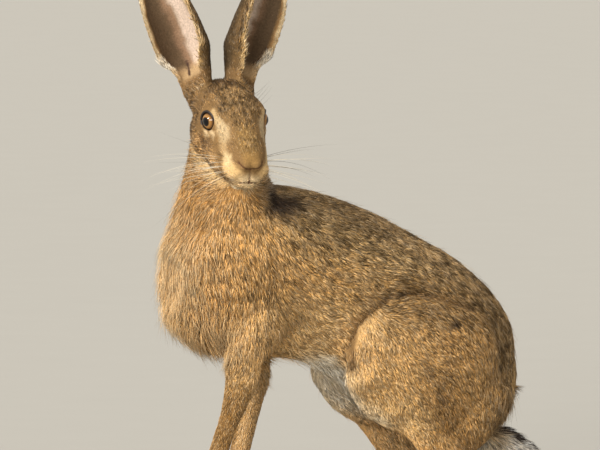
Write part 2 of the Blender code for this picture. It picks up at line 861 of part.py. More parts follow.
def make_head():
    """The head with its sockets, lids, nostrils, lips and mouth, and the two eyes."""
    shells = [*head_shells(), neck_shell()]
    head = fuse("head", shells, HEAD_VOXEL, HEAD_SMOOTHING, HEAD_TRIANGLES)
    head = cut_away(head, head_cutter(-GAP / 2), "INTERSECT")
    surface = BVHTree.FromObject(head, bpy.context.evaluated_depsgraph_get())
    grooves = [
        groove(surface, mouth_rays(), MOUTH_RADIUS, "mouth_groove"),
        groove(surface, cleft_rays(), CLEFT_RADIUS, "cleft_groove"),
    ]
    for cutter in grooves:
        head = cut_away(head, cutter)
    nodes = []
    for side, word in ((-1, "right"), (1, "left")):
        head = cut_away(head, ear_cutter(side))
        head = cut_away(head, nostril_cutter(side))
        head = cut_away(head, eye_opening_cutter(side))
        socket = EYE_RADIUS + GAP
        ball = ellipsoid("socket", eye_centre(side), (socket,) * 3, SKULL_AXES, 24)
        head = cut_away(head, as_cutter(ball))
        axis = eye_axis(side)
        across = axis.cross(SKULL_UP).normalized()
        axes = (across, axis.cross(across), axis)
        eye = ellipsoid(f"eye_{word}", eye_centre(side), (EYE_RADIUS,) * 3, axes, 20)
        nodes.append(eye)
        nodes.append(ear(f"ear_{word}", side))
    nodes.append(head)
    return nodes


def give_material(node):
    for start, colour, roughness in FINISHES:
        if node.name.startswith(start):
            finish = bpy.data.materials.new(f"{node.name}_finish")
            finish.use_nodes = True
            shader = finish.node_tree.nodes["Principled BSDF"]
            shader.inputs["Base Color"].default_value = (*colour, 1)
            shader.inputs["Roughness"].default_value = roughness
            shader.inputs["Metallic"].default_value = 0.0
            node.data.materials.clear()
            node.data.materials.append(finish)


def stand_on_origin(nodes):
    """Moves all nodes so that the origin is at the middle of the box, on the floor."""
    corners = [vertex.co for node in nodes for vertex in node.data.vertices]
    middle = [(min(c[k] for c in corners) + max(c[k] for c in corners)) / 2 for k in (0, 1)]
    shift = Matrix.Translation((-middle[0], -middle[1], 0))
    for node in nodes:
        node.data.transform(shift)


def main():
    clear_scene()
    nodes = make_body() + make_head()
    stand_on_origin(nodes)
    for node in nodes:
        give_material(node)
        node.data.shade_smooth()


main()
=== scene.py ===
"""The brown hare dressed: one skin over the flesh, a coat of mesh tufts, eyes, claws, whiskers.

Tables hold millimetres in the hare's own frame, as the solids were modelled: x runs from the
breast to the tail, the left side is at -y and z is the height above the floor. Places on the
head are in the skull's frame: a forward, s to the hare's left, h up. Meshes are in metres.
"""

import math

import bmesh
import bpy
import numpy as np
from mathutils import Matrix, Vector
from mathutils.bvhtree import BVHTree


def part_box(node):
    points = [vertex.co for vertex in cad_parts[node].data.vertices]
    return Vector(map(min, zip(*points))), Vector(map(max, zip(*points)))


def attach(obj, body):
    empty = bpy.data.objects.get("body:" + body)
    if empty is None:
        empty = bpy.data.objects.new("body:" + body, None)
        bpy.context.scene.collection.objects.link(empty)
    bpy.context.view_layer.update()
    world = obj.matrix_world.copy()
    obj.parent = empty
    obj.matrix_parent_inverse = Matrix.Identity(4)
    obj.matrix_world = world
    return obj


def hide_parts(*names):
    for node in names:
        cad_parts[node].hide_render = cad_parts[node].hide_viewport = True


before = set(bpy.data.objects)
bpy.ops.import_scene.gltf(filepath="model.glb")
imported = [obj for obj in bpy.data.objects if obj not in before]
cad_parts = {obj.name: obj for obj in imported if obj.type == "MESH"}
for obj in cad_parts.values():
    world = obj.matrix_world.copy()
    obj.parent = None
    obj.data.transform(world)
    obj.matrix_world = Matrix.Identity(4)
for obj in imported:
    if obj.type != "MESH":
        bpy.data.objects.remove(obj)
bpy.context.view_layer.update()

MM = 0.001
UP = np.array((0.0, 0.0, 1.0))
# The lattice of the noise is turned, so that no rows of it show on upright or level surfaces.
NOISE_TURN = np.array(Matrix.Rotation(0.9, 3, Vector((1, 2, 3)).normalized()))

# The head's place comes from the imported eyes, the rest from the modelled tables.
TABLE_EYE_MIDDLE = np.array((-120.0, -43.0, 341.0))
HEAD_PITCH = 36
EYE_TURN = 67
EYE_RISE = 8

EAR_LENGTH = 121
EAR_ROOT = (-31, 24)
# For the right ear (-1) and the left ear (1): root to the side, splay, lean, turn of the opening.
EAR_STANCES = {-1: (18.3, 20, 16, 43), 1: (11.3, 19, 4, 33)}
# Ear rings: share of the length, arc radius, angles of the arc from the back to the outer and the
# inner rim, thickness, and shift of the middle outward and to the opening.
EAR_RINGS = np.array(
    (
        (0.00, 12.9, 114, 118, 4.0, 4.2, 0.9),
        (0.07, 14.2, 114, 127, 3.6, 3.0, -0.4),
        (0.14, 15.7, 115, 136, 3.2, 1.7, -1.3),
        (0.21, 18.2, 108, 133, 2.8, 1.2, -1.5),
        (0.29, 23.3, 108, 120, 2.6, 1.5, 0.9),
        (0.38, 23.8, 110, 112, 2.4, 0.8, 2.7),
        (0.50, 23.4, 110, 106, 2.3, -0.2, 4.6),
        (0.62, 22.2, 108, 101, 2.2, -1.3, 6.7),
        (0.74, 20.3, 101, 93, 2.1, -1.6, 6.9),
        (0.84, 17.1, 96, 86, 1.9, -1.4, 5.1),
        (0.92, 11.8, 91, 82, 1.7, -2.0, 2.3),
        (0.97, 7.3, 88, 82, 1.5, -1.9, -0.2),
        (1.00, 2.8, 89, 86, 1.2, -1.8, -2.3),
    )
)

# Top line of the trunk and its underline, x and z.
SPINE = ((-112, 290), (-90, 287), (-50, 281), (-8, 267), (32, 247), (66, 228), (94, 204), (129, 134))
UNDERLINE = ((-152, 154), (-126, 137), (-90, 129), (-50, 127), (-8, 117), (32, 99), (66, 76), (139, 50))

SKIN_VOXEL = 1.0
SKIN_SWELL = 0.2
EAR_SWELL = 0.7
SKIN_TRIANGLES = 180000
SINK = 0.6
FLOOR_CLEAR = 0.3
PIECE_TRIANGLES = 190000

# Coat of each kind of node: length, depth below the outline, lift at root and tip in degrees,
# width of a tuft, spacing.
COATS = {
    "torso": (13.0, 4.8, 25, 3, 0.84, 1.09),
    "neck": (13.5, 4.4, 25, 4, 0.80, 1.00),
    "tail": (17.0, 6.5, 34, 16, 0.90, 1.06),
    "hind_leg": (10.5, 3.7, 24, 3, 0.84, 1.17),
    "fore_leg": (6.5, 1.7, 22, 4, 0.78, 1.08),
    "fore_paw": (5.0, 1.2, 22, 5, 0.80, 1.10),
    "hind_foot": (6.0, 1.5, 22, 5, 0.95, 1.50),
    "head": (4.8, 1.0, 20, 6, 0.60, 0.74),
    "ear": (4.2, 0.7, 18, 5, 0.66, 1.18),
}
KINDS = tuple(COATS)


def unit(vectors):
    length = np.linalg.norm(vectors, axis=-1, keepdims=True)
    return vectors / np.maximum(length, 1e-9)


def smooth_step(share):
    share = np.clip(share, 0, 1)
    return share * share * (3 - 2 * share)


def mix(a, b, share):
    return a * (1 - share) + b * share


def box_middle(node):
    low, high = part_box(node)
    return np.array((low + high) / 2) / MM


EYES = {1: box_middle("eye_left"), -1: box_middle("eye_right")}
SHIFT = (EYES[1] + EYES[-1]) / 2 - TABLE_EYE_MIDDLE
EYE_RADIUS = float((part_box("eye_left")[1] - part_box("eye_left")[0]).z) / 2 / MM

SKULL_LEFT = unit(EYES[1] - EYES[-1])
FACE = np.array((SKULL_LEFT[1], -SKULL_LEFT[0], 0.0))
PITCH = math.radians(HEAD_PITCH)
SKULL_FORWARD = FACE * math.cos(PITCH) - UP * math.sin(PITCH)
SKULL_UP = FACE * math.sin(PITCH) + UP * math.cos(PITCH)
SKULL_AXES = np.array((SKULL_FORWARD, SKULL_LEFT, SKULL_UP))


def to_row(points):
    """Points of the tables' frame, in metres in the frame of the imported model."""
    return (np.asarray(points, float) + SHIFT) * MM


def from_row(points):
    return np.asarray(points, float) / MM - SHIFT


def head_point(a, s, h):
    return TABLE_EYE_MIDDLE + np.array((a, s, h), float) @ SKULL_AXES


def skull_place(points):
    """The points' a, s and h."""
    return (points - TABLE_EYE_MIDDLE) @ SKULL_AXES.T


def eye_centre(side):
    return EYES[side] - SHIFT


def eye_axis(side):
    turn = math.radians(EYE_TURN)
    rise = math.radians(EYE_RISE)
    level = SKULL_FORWARD * math.cos(turn) + SKULL_LEFT * (side * math.sin(turn))
    return unit(level * math.cos(rise) + SKULL_UP * math.sin(rise))


def ear_frame(side):
    """Root of an ear, and its directions to the tip, the opening and the outer rim."""
    apart, splay, lean, opening_turn = EAR_STANCES[side]
    root = TABLE_EYE_MIDDLE + FACE * EAR_ROOT[0] + SKULL_LEFT * (side * apart) + UP * EAR_ROOT[1]
    splay = SKULL_LEFT * (side * math.tan(math.radians(splay)))
    along = unit(UP + splay - FACE * math.tan(math.radians(lean)))
    opening_turn = math.radians(opening_turn)
    looking = FACE * math.cos(opening_turn) + SKULL_LEFT * (side * math.sin(opening_turn))
    opening = unit(looking - along * looking.dot(along))
    return root, along, opening, np.cross(along, opening) * side


def ear_place(points, side):
    """Where points lie on an ear: share of its length, place across from the inner to the outer
    rim (-1 to 1), and whether they are in the cup."""
    root, along, opening, out = ear_frame(side)
    share = (points - root) @ along / EAR_LENGTH
    radius, outer, inner, thick, shift, push = (
        np.interp(share, EAR_RINGS[:, 0], EAR_RINGS[:, column]) for column in range(1, 7)
    )
    wide = (points - root) @ out - shift
    deep = push - (points - root) @ opening
    turn = np.degrees(np.arctan2(wide, deep))
    across = np.where(turn > 0, turn / outer, turn / inner)
    return share, across, np.hypot(wide, deep) < radius - thick * 0.45


def noise(points, scale, seed):
    """Smooth noise from 0 to 1 with features about as large as the scale."""
    size = 32
    lattice = np.random.default_rng(seed).random((size, size, size))
    cell = points @ NOISE_TURN / scale
    base = np.floor(cell).astype(int)
    part = smooth_step(cell - base)
    total = np.zeros(len(points))
    for corner in np.ndindex(2, 2, 2):
        index = (base + corner) % size
        share = np.prod(np.where(np.array(corner) == 1, part, 1 - part), axis=1)
        total += share * lattice[index[:, 0], index[:, 1], index[:, 2]]
    return total


def blob(points, centre, radii, soft=0.35):
    """1 inside an ellipsoid, falling smoothly to 0 outside it."""
    reach = np.linalg.norm((points - np.array(centre)) / np.array(radii), axis=1)
    return smooth_step((1 + soft - reach) / (2 * soft))


def line_distance(flat, line):
    """Distance of flat points from a line through several points."""
    nearest = np.full(len(flat), np.inf)
    for start, end in zip(line, line[1:]):
        start = np.array(start, float)
        along = np.array(end, float) - start
        share = np.clip((flat - start) @ along / (along @ along), 0, 1)
        nearest = np.minimum(nearest, np.linalg.norm(flat - start - share[:, None] * along, axis=1))
    return nearest


def face_line_distance(points):
    """Distance from the edge of the nearest dark line of the muzzle, large away from them."""
    place = skull_place(points)
    nearest = np.full(len(points), 99.0)
    rows = np.flatnonzero(place[:, 0] > FACE_LINES_BEHIND)
    flat = np.column_stack((np.abs(place[rows, 1]), place[rows, 2]))
    for line, half in FACE_LINES:
        nearest[rows] = np.minimum(nearest[rows], line_distance(flat, line) - half)
    return nearest


def crease_share(points):
    """How near each point is to the middle of a crease, 0 to 1, and how deep it is pressed in."""
    near = np.zeros(len(points))
    depth = np.zeros(len(points))
    rows = np.flatnonzero(np.abs(points[:, 1]) > CREASE_OUT)
    for line, deep, wide in CREASES:
        share = np.exp(-((line_distance(points[rows][:, ::2], line) / wide) ** 2))
        near[rows] = np.maximum(near[rows], share * deep / CREASES[0][1])
        depth[rows] = np.maximum(depth[rows], share * deep)
    return near, depth


def on_face(points, kinds):
    """Whether points lie on the head, or on the throat right below it."""
    place = skull_place(points)
    throat = (kinds == KINDS.index("neck")) & (place[:, 2] > -62) & (place[:, 0] > -30)
    return (kinds == KINDS.index("head")) | throat


def mirrored(rows, axis):
    """Each row's place on both sides, where it isn't on the middle plane."""
    both = []
    for row in rows:
        for side in (1, -1):
            place = list(row[0])
            place[axis] *= side
            if side == 1 or place[axis] != 0:
                both.append((tuple(place), side, *row[1:]))
    return both


# How the coat lies on the body: place on the left side, direction.
BODY_LIES = (
    ((-95, 0, 292), (0.85, 0, -0.5)),
    ((-60, 0, 283), (1, 0, -0.15)),
    ((0, 0, 265), (1, 0, -0.25)),
    ((60, 0, 230), (1, 0, -0.5)),
    ((105, 0, 190), (0.75, 0, -0.7)),
    ((137, 0, 110), (0.15, 0, -1)),
    ((-60, -38, 268), (0.9, -0.2, -0.45)),
    ((0, -40, 245), (0.95, -0.2, -0.4)),
    ((60, -42, 205), (0.85, -0.2, -0.6)),
    ((-105, -45, 240), (0.2, -0.1, -1)),
    ((-88, -56, 215), (0.45, 0, -0.9)),
    ((-60, -57, 200), (0.85, 0, -0.5)),
    ((-20, -58, 195), (0.95, 0, -0.35)),
    ((20, -60, 180), (0.95, 0, -0.3)),
    ((-75, -45, 160), (0.55, 0, -0.85)),
    ((-35, -52, 150), (0.85, 0, -0.5)),
    ((-5, -40, 128), (0.9, 0, -0.45)),
    ((-30, 0, 127), (1, 0, -0.2)),
    ((20, 0, 102), (1, 0, -0.3)),
    ((-171, 0, 216), (-0.25, 0, -1)),
    ((-160, -28, 230), (-0.45, -0.15, -1)),
    ((-135, -45, 225), (-0.15, -0.1, -1)),
    ((-150, -20, 165), (0.15, 0, -1)),
    ((-160, 0, 180), (0.1, 0, -1)),
    ((-120, 0, 138), (0.6, 0, -0.8)),
    ((-115, -48, 180), (0.05, 0, -1)),
    ((-140, -15, 285), (-0.35, 0, -1)),
    ((-148, 0, 262), (-0.45, 0, -1)),
    ((-125, -40, 270), (-0.1, -0.1, -1)),
    ((-95, -36, 285), (0.45, -0.1, -0.9)),
    ((-80, 0, 310), (0.6, 0, -0.85)),
    ((-100, -25, 325), (0.4, -0.2, -0.9)),
    ((60, -70, 190), (0.6, -0.25, -0.6)),
    ((0, -65, 160), (0.25, -0.2, -0.95)),
    ((-18, -62, 130), (0.3, -0.1, -0.95)),
    ((40, -84, 130), (0.7, 0, -0.7)),
    ((85, -75, 140), (0.6, 0, -0.8)),
    ((115, -55, 120), (0.25, 0, -1)),
    ((10, -75, 100), (0.45, 0, -0.9)),
    ((50, -72, 70), (0.65, 0, -0.75)),
    ((80, -62, 42), (0.6, 0, -0.8)),
    ((120, -50, 60), (0.1, 0, -1)),
    ((118, -55, 18), (-0.5, 0, -0.85)),
    ((60, -55, 18), (-1, 0, -0.15)),
    ((0, -55, 15), (-1, 0, -0.15)),
    ((40, -40, 60), (0.6, 0, -0.8)),
    ((150, 0, 60), (0.85, 0, -0.5)),
    ((185, 0, 35), (0.85, 0, -0.5)),
)
# The fore legs aren't alike, so they have their own.
LEG_LIES = (
    ((-105, -40, 140), (-0.15, 0, -1)),
    ((-125, -38, 80), (-0.3, 0, -1)),
    ((-145, -38, 30), (-0.3, 0, -1)),
    ((-165, -38, 12), (-1, 0, -0.3)),
    ((-68, 36, 126), (0, 0, -1)),
    ((-76, 34, 65), (-0.2, 0, -1)),
    ((-88, 34, 25), (-0.3, 0, -1)),
    ((-108, 34, 12), (-1, 0, -0.3)),
)
# How it lies on the head, in the skull's frame, on the left side.
HEAD_LIES = (
    ((60, 0, -6), (-1, 0, 0.4)),
    ((40, 0, 9), (-1, 0, 0.3)),
    ((10, 0, 20), (-1, 0, 0.15)),
    ((-20, 0, 22), (-1, 0, -0.05)),
    ((-40, 0, 15), (-1, 0, -0.5)),
    ((50, 14, -10), (-1, 0.35, 0.1)),
    ((44, 20, -18), (-1, 0.3, -0.25)),
    ((25, 22, -12), (-1, 0.1, -0.25)),
    ((8, 27, -22), (-1, 0, -0.4)),
    ((10, 17, 10), (-1, 0.1, 0.25)),
    ((-15, 26, 6), (-1, 0, -0.1)),
    ((-25, 28, -14), (-1, 0, -0.4)),
    ((-30, 22, -36), (-0.8, 0, -0.7)),
    ((5, 26, -38), (-0.8, 0, -0.65)),
    ((30, 18, -36), (-0.8, 0.1, -0.65)),
    ((50, 8, -34), (-0.55, 0.2, -1)),
    ((50, 0, -36), (-0.5, 0, -1)),
    ((20, 0, -50), (-0.5, 0, -1)),
    ((-20, 0, -50), (-0.5, 0, -1)),
)

# Where the coat is longer or shorter than its node's: place, radii, factors on length, depth, lift.
BODY_LENGTHS = (
    ((-165, 0, 225), (30, 60, 64), 1.55, 2.6, 1.15),
    ((-150, -40, 190), (25, 30, 45), 1.3, 1.8, 1.05),
    ((-150, 0, 158), (34, 60, 24), 1.6, 2.0, 1.25),
    ((-20, 0, 120), (90, 50, 22), 1.5, 1.5, 1.2),
    ((-148, 0, 275), (24, 40, 24), 1.3, 1.2, 1.1),
    ((20, 0, 115), (50, 26, 30), 1.4, 1.3, 1.2),
    ((130, -20, 125), (26, 40, 30), 1.0, 1.5, 0.9),
    ((134, -35, 92), (24, 34, 18), 1.8, 0.2, 1.3),
)
HEAD_LENGTHS = (
    ((56, 0, -8), (10, 14, 12), 0.30, 0.15, 0.8),
    ((42, 12, -8), (16, 14, 14), 0.62, 0.6, 0.9),
    ((24, 14, 0), (18, 16, 14), 0.8, 0.8, 0.9),
    ((-28, 20, -28), (20, 16, 20), 1.5, 1.6, 1.1),
    ((10, 24, -36), (34, 16, 9), 1.4, 1.5, 1.1),
    ((-30, 0, 20), (14, 14, 10), 1.35, 1.3, 1.1),
    ((0, 0, -50), (40, 20, 10), 1.3, 1.2, 1.1),
    ((48, 0, -35), (12, 14, 8), 0.9, 0.9, 1.2),
)

# Colours in sRGB, 0 to 255. Each kind of node has a ground colour and a share of dark tips.
GROUNDS = {
    "torso": ((232, 184, 117), 0.20),
    "neck": ((206, 158, 96), 0.14),
    "tail": ((246, 240, 230), 0.0),
    "hind_leg": ((216, 170, 108), 0.20),
    "fore_leg": ((160, 121, 70), 0.05),
    "fore_paw": ((196, 154, 98), 0.08),
    "hind_foot": ((208, 166, 110), 0.06),
    "head": ((160, 124, 78), 0.34),
    "ear": ((110, 88, 58), 0.42),
}
BACK_GROUND = (214, 178, 124)
SPINE_GROUND = (196, 162, 114)
BELLY_GROUND = (246, 240, 226)
INNER_LEG_GROUND = (236, 194, 136)
TAIL_TOP_GROUND = (52, 42, 38)
DARK_TIP = (46, 34, 26)
# A share of the tufts is paler, and the rest are a little deeper in colour.
CREAM = (255, 238, 208)
DEEPER = np.array((0.96, 0.95, 0.925))
FROST = (244, 226, 190)
# Marks on the body, left side: place, radii, colour, share of dark tips, strength, frost.
BODY_MARKS = (
    ((-150, -35, 210), (40, 40, 70), (228, 179, 116), 0.05, 0.9, 0.05),
    ((-172, 0, 215), (24, 50, 60), (250, 208, 150), 0.03, 0.9, 0.1),
    ((-145, -10, 285), (30, 40, 26), (212, 162, 98), 0.12, 0.8, 0.05),
    ((-100, -50, 215), (28, 30, 50), (228, 178, 110), 0.2, 0.7, 0.0),
    ((-92, -58, 190), (5, 20, 36), (156, 118, 70), 0.5, 0.7, 0.0),
    # Painted shadow of the head: a near-black patch on the neck under the head, with dark-tipped fur.
    ((-77, -31, 271), (20, 22, 13), (58, 45, 36), 0.7, 0.95, 0.0),
    ((-88, 0, 292), (20, 18, 20), (92, 70, 50), 0.7, 0.8, 0.0),
    # Painted light: the lower flank faces down, away from the lamps, and is painted paler to look lit.
    ((-46, -48, 144), (72, 34, 40), (252, 212, 150), 0.03, 1.0, 0.0),
    ((-100, -45, 146), (34, 30, 26), (230, 184, 122), 0.05, 0.7, 0.0),
    ((122, 0, 130), (30, 60, 60), (156, 124, 82), 0.42, 0.85, 0.0),
    ((128, -30, 90), (20, 40, 40), (160, 128, 86), 0.32, 0.85, 0.0),
    ((60, -70, 184), (60, 30, 24), (158, 124, 78), 0.45, 0.85, 0.0),
    ((71, -77, 161), (4, 12, 4), (70, 52, 36), 0.8, 0.95, 0.0),
    ((8, -78, 112), (34, 24, 38), (238, 191, 124), 0.02, 0.85, 0.0),
    ((-17, -55, 126), (14, 34, 34), (238, 192, 128), 0.0, 0.95, 0.0),
    ((0, -70, 100), (20, 24, 22), (238, 194, 130), 0.0, 0.8, 0.0),
    ((28, -66, 74), (26, 24, 19), (250, 210, 148), 0.0, 0.9, 0.0),
    ((60, -60, 46), (30, 22, 20), (228, 182, 120), 0.02, 0.8, 0.0),
    ((64, -75, 112), (6, 20, 34), (166, 126, 78), 0.4, 0.35, 0.0),
    ((14, -30, 104), (46, 12, 20), (246, 236, 216), 0.0, 0.9, 0.2),
    ((-2, -46, 104), (18, 15, 24), (240, 226, 200), 0.0, 0.95, 0.3),
    ((12, -50, 86), (14, 14, 16), (236, 218, 186), 0.0, 0.8, 0.3),
)
# Marks on the head, in the skull's frame, left side.
HEAD_MARKS = (
    ((-2, 0, 22), (30, 19, 12), (160, 126, 80), 0.70, 0.9, 0.0),
    ((-34, 0, 22), (15, 16, 12), (140, 106, 66), 0.66, 0.9, 0.0),
    ((38, 0, 8), (22, 10, 9), (168, 132, 78), 0.24, 0.9, 0.0),
    ((54, 0, 1), (7, 8, 7), (174, 136, 80), 0.05, 0.8, 0.0),
    ((8, 27, -26), (16, 12, 10), (180, 138, 86), 0.30, 0.85, 0.0),
    ((12, 27, -16), (11, 9, 7), (140, 104, 64), 0.46, 0.85, 0.0),
    ((-6, 29, -4), (7, 9, 8), (160, 122, 74), 0.40, 0.8, 0.0),
    # Dark-tipped fur at the back of the cheek, darkened further with painted shade.
    ((-24, 28, -14), (15, 12, 20), (132, 102, 66), 0.5, 0.8, 0.0),
    ((26, 23, -22), (12, 9, 9), (204, 162, 106), 0.2, 0.8, 0.05),
    ((12, 22, -42), (30, 14, 5), (222, 188, 136), 0.1, 0.85, 0.1),
    ((30, 14, -42), (16, 12, 6), (228, 196, 146), 0.08, 0.85, 0.1),
    ((4, 23, 11.5), (5, 3.2, 2.4), (222, 190, 140), 0.0, 0.8, 0.0),
    ((11, 20.5, 9.5), (5, 3.6, 2.8), (222, 192, 144), 0.05, 0.9, 0.0),
    ((18, 18.5, 7), (7, 6, 5), (214, 188, 146), 0.08, 0.95, 0.1),
    ((26, 17.5, 3), (7, 6.5, 6), (212, 184, 140), 0.1, 0.95, 0.1),
    ((34, 17, -4), (6, 6, 5), (216, 180, 128), 0.12, 0.7, 0.0),
    ((8, 27, -7.5), (5.5, 5, 2.0), (232, 202, 156), 0.0, 0.9, 0.0),
    ((13.5, 24, -3), (4.5, 4.5, 2.2), (232, 204, 160), 0.0, 0.8, 0.0),
    ((50, 15, -13), (12, 10, 7.5), (246, 206, 144), 0.0, 0.95, 0.1),
    ((44, 18.5, -6.5), (7, 6, 4.5), (250, 222, 170), 0.0, 0.8, 0.1),
    ((58, 0, -19), (9, 12, 7), (240, 212, 166), 0.0, 0.9, 0.1),
    ((54, 0, -31), (14, 14, 6.5), (242, 222, 184), 0.0, 0.95, 0.1),
    ((0, 0, -56), (34, 12, 6), (238, 212, 168), 0.0, 0.6, 0.1),
)
# Painted shade in the slits of the nose, the cleft under it and the mouth.
SLIT_PAINTED_SHADE = (92, 60, 42)
# Dark lines on the front of the muzzle, seen along the skull: s and h of their points, half width.
# They are the slits of the nose, the cleft under it and the mouth.
FACE_LINES = (
    (((0.4, -7.2), (6.0, -5.4), (11.5, -2.6)), 0.35),
    (((0, -7.5), (0, -20.0)), 0.0),
    (((0, -18.5), (0, -20.6)), 0.6),
    (((0, -20.2), (3.5, -20.6), (7.5, -21.4)), 0.45),
)
FACE_LINES_BEHIND = 44
FACE_LINE_DEPTH = 1.0
# Folds of the flank round the thigh, on both sides: x and z of their points, depth, width.
CREASES = (
    (
        ((-18, 124), (-17, 143), (-11, 160), (0, 175), (17, 185), (38, 190), (59, 188), (76, 184), (104, 174)),
        1.7,
        2.6,
    ),
    (((41, 129), (55, 112), (62, 92)), 0.8, 5.0),
)
CREASE_OUT = 36
KNEE_FOLD = ((-2, -68, 112),)
# Painted shade: a dark brown laid along the folds round the thigh, where shade falls.
CREASE_PAINTED_SHADE = (118, 88, 54)
# Where single longer hairs stand out of the coat, left side: place, radii, share.
STRAYS = (
    ((-168, 0, 225), (30, 60, 75), 0.16),
    ((-150, -20, 158), (40, 60, 28), 0.30),
    ((-148, -20, 280), (26, 30, 26), 0.05),
    ((-10, 0, 118), (110, 50, 18), 0.06),
    ((125, 0, 110), (30, 60, 60), 0.025),
)
STRAY_SHARE = 0.012


def to_linear(colour):
    """sRGB from 0 to 255 as the linear values that shaders read."""
    share = np.asarray(colour, float) / 255
    return np.where(share <= 0.04045, share / 12.92, ((share + 0.055) / 1.055) ** 2.4)


def new_object(name, data):
    made = bpy.data.objects.new(name, data)
    bpy.context.scene.collection.objects.link(made)
    return made


def kind_of(node):
    for kind in KINDS:
        if node.startswith(kind):
            return KINDS.index(kind)
    return None


FLESH = sorted(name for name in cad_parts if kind_of(name) is not None)


def welded(node, swell):
    """A CAD node's mesh with its split corners joined, grown by a little along its normals."""
    solid = bmesh.new()
    solid.from_mesh(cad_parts[node].data)
    bmesh.ops.remove_doubles(solid, verts=solid.verts, dist=MM / 100)
    solid.normal_update()
    for vertex in solid.verts:
        vertex.co += vertex.normal * (swell * MM)
    data = bpy.data.meshes.new(node)
    solid.to_mesh(data)
    solid.free()
    return data


def with_modifiers(made, *settings):
    """The object's mesh after one modifier of each type and its values, without the object."""
    for kind, values in settings:
        modifier = made.modifiers.new(kind, kind)
        for name, value in values.items():
            setattr(modifier, name, value)
    graph = bpy.context.evaluated_depsgraph_get()
    data = bpy.data.meshes.new_from_object(made.evaluated_get(graph))
    bpy.data.objects.remove(made, do_unlink=True)
    return data


def fused_skin():
    """The flesh nodes as one closed mesh, fine enough for lids and lips."""
    whole = bmesh.new()
    for node in FLESH:
        whole.from_mesh(welded(node, EAR_SWELL if node.startswith("ear") else SKIN_SWELL))
    data = bpy.data.meshes.new("whole")
    whole.to_mesh(data)
    whole.free()
    fine = with_modifiers(
        new_object("whole", data),
        ("REMESH", {"mode": "VOXEL", "voxel_size": SKIN_VOXEL * MM}),
        ("SMOOTH", {"factor": 0.5, "iterations": 3}),
    )
    ratio = SKIN_TRIANGLES / (2 * len(fine.polygons))
    thin = with_modifiers(new_object("fine", fine), ("DECIMATE", {"ratio": ratio}))
    solid = bmesh.new()
    solid.from_mesh(thin)
    keep_largest(solid)
    bmesh.ops.triangulate(solid, faces=solid.faces)
    solid.to_mesh(thin)
    solid.free()
    return thin


def keep_largest(solid):
    """Drops all but the closed surface with the most faces."""
    unseen = set(solid.verts)
    groups = []
    while unseen:
        stack = [unseen.pop()]
        group = set(stack)
        while stack:
            for edge in stack.pop().link_edges:
                for vertex in edge.verts:
                    if vertex in unseen:
                        unseen.discard(vertex)
                        group.add(vertex)
                        stack.append(vertex)
        groups.append(group)
    groups.sort(key=len)
    for group in groups[:-1]:
        bmesh.ops.delete(solid, geom=list(group), context="VERTS")


class Skin:
    """The skin's arrays: points and normals in the tables' frame, and all that the coat reads."""

    def __init__(self, data):
        count = len(data.vertices)
        flat = np.empty(count * 3)
        data.vertices.foreach_get("co", flat)
        self.points = from_row(flat.reshape(-1, 3))
        corners = np.empty(len(data.polygons) * 3, int)
        data.polygons.foreach_get("vertices", corners)
        self.triangles = corners.reshape(-1, 3)
        pairs = np.empty(len(data.edges) * 2, int)
        data.edges.foreach_get("vertices", pairs)
        self.edges = pairs.reshape(-1, 2)
        self.outline = self.points.copy()
        self.normals = self.vertex_normals()

    def vertex_normals(self):
        corners = self.points[self.triangles]
        face = np.cross(corners[:, 1] - corners[:, 0], corners[:, 2] - corners[:, 0])
        total = np.zeros_like(self.points)
        for axis in range(3):
            for corner in range(3):
                total[:, axis] += np.bincount(
                    self.triangles[:, corner], face[:, axis], len(self.points)
                )
        return unit(total)

    def spread(self, values, rounds):
        """Values smoothed over the surface."""
        flat = values.reshape(len(values), -1).astype(float)
        one, other = self.edges.T
        count = len(flat)
        degree = np.bincount(one, minlength=count) + np.bincount(other, minlength=count)
        for _ in range(rounds):
            for axis in range(flat.shape[1]):
                column = flat[:, axis]
                total = np.bincount(one, column[other], count) + np.bincount(other, column[one], count)
                flat[:, axis] = (column + total) / (degree + 1)
        return flat.reshape(values.shape)


def curvature(skin):
    """How much the surface bends at each point, in 1/mm, positive where it bulges."""
    one, other = skin.edges.T
    step = skin.points[other] - skin.points[one]
    bend = ((skin.normals[other] - skin.normals[one]) * step).sum(1) / np.maximum((step**2).sum(1), 0.01)
    count = len(skin.points)
    total = np.bincount(one, bend, count) + np.bincount(other, bend, count)
    degree = np.bincount(one, minlength=count) + np.bincount(other, minlength=count)
    return skin.spread(total / np.maximum(degree, 1), 60)


def nearest_kinds(points):
    """For each point the kind of its nearest node, as an index in KINDS, and the node's side."""
    corners = []
    faces = []
    owners = []
    for node in FLESH:
        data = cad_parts[node].data
        start = len(corners)
        corners += [vertex.co.copy() for vertex in data.vertices]
        for face in data.polygons:
            faces.append([start + index for index in face.vertices])
            owners.append((kind_of(node), -1 if node.endswith("right") else 1))
    tree = BVHTree.FromPolygons(corners, faces)
    found = [owners[tree.find_nearest(Vector(point))[2]] for point in to_row(points)]
    return np.array(found).T


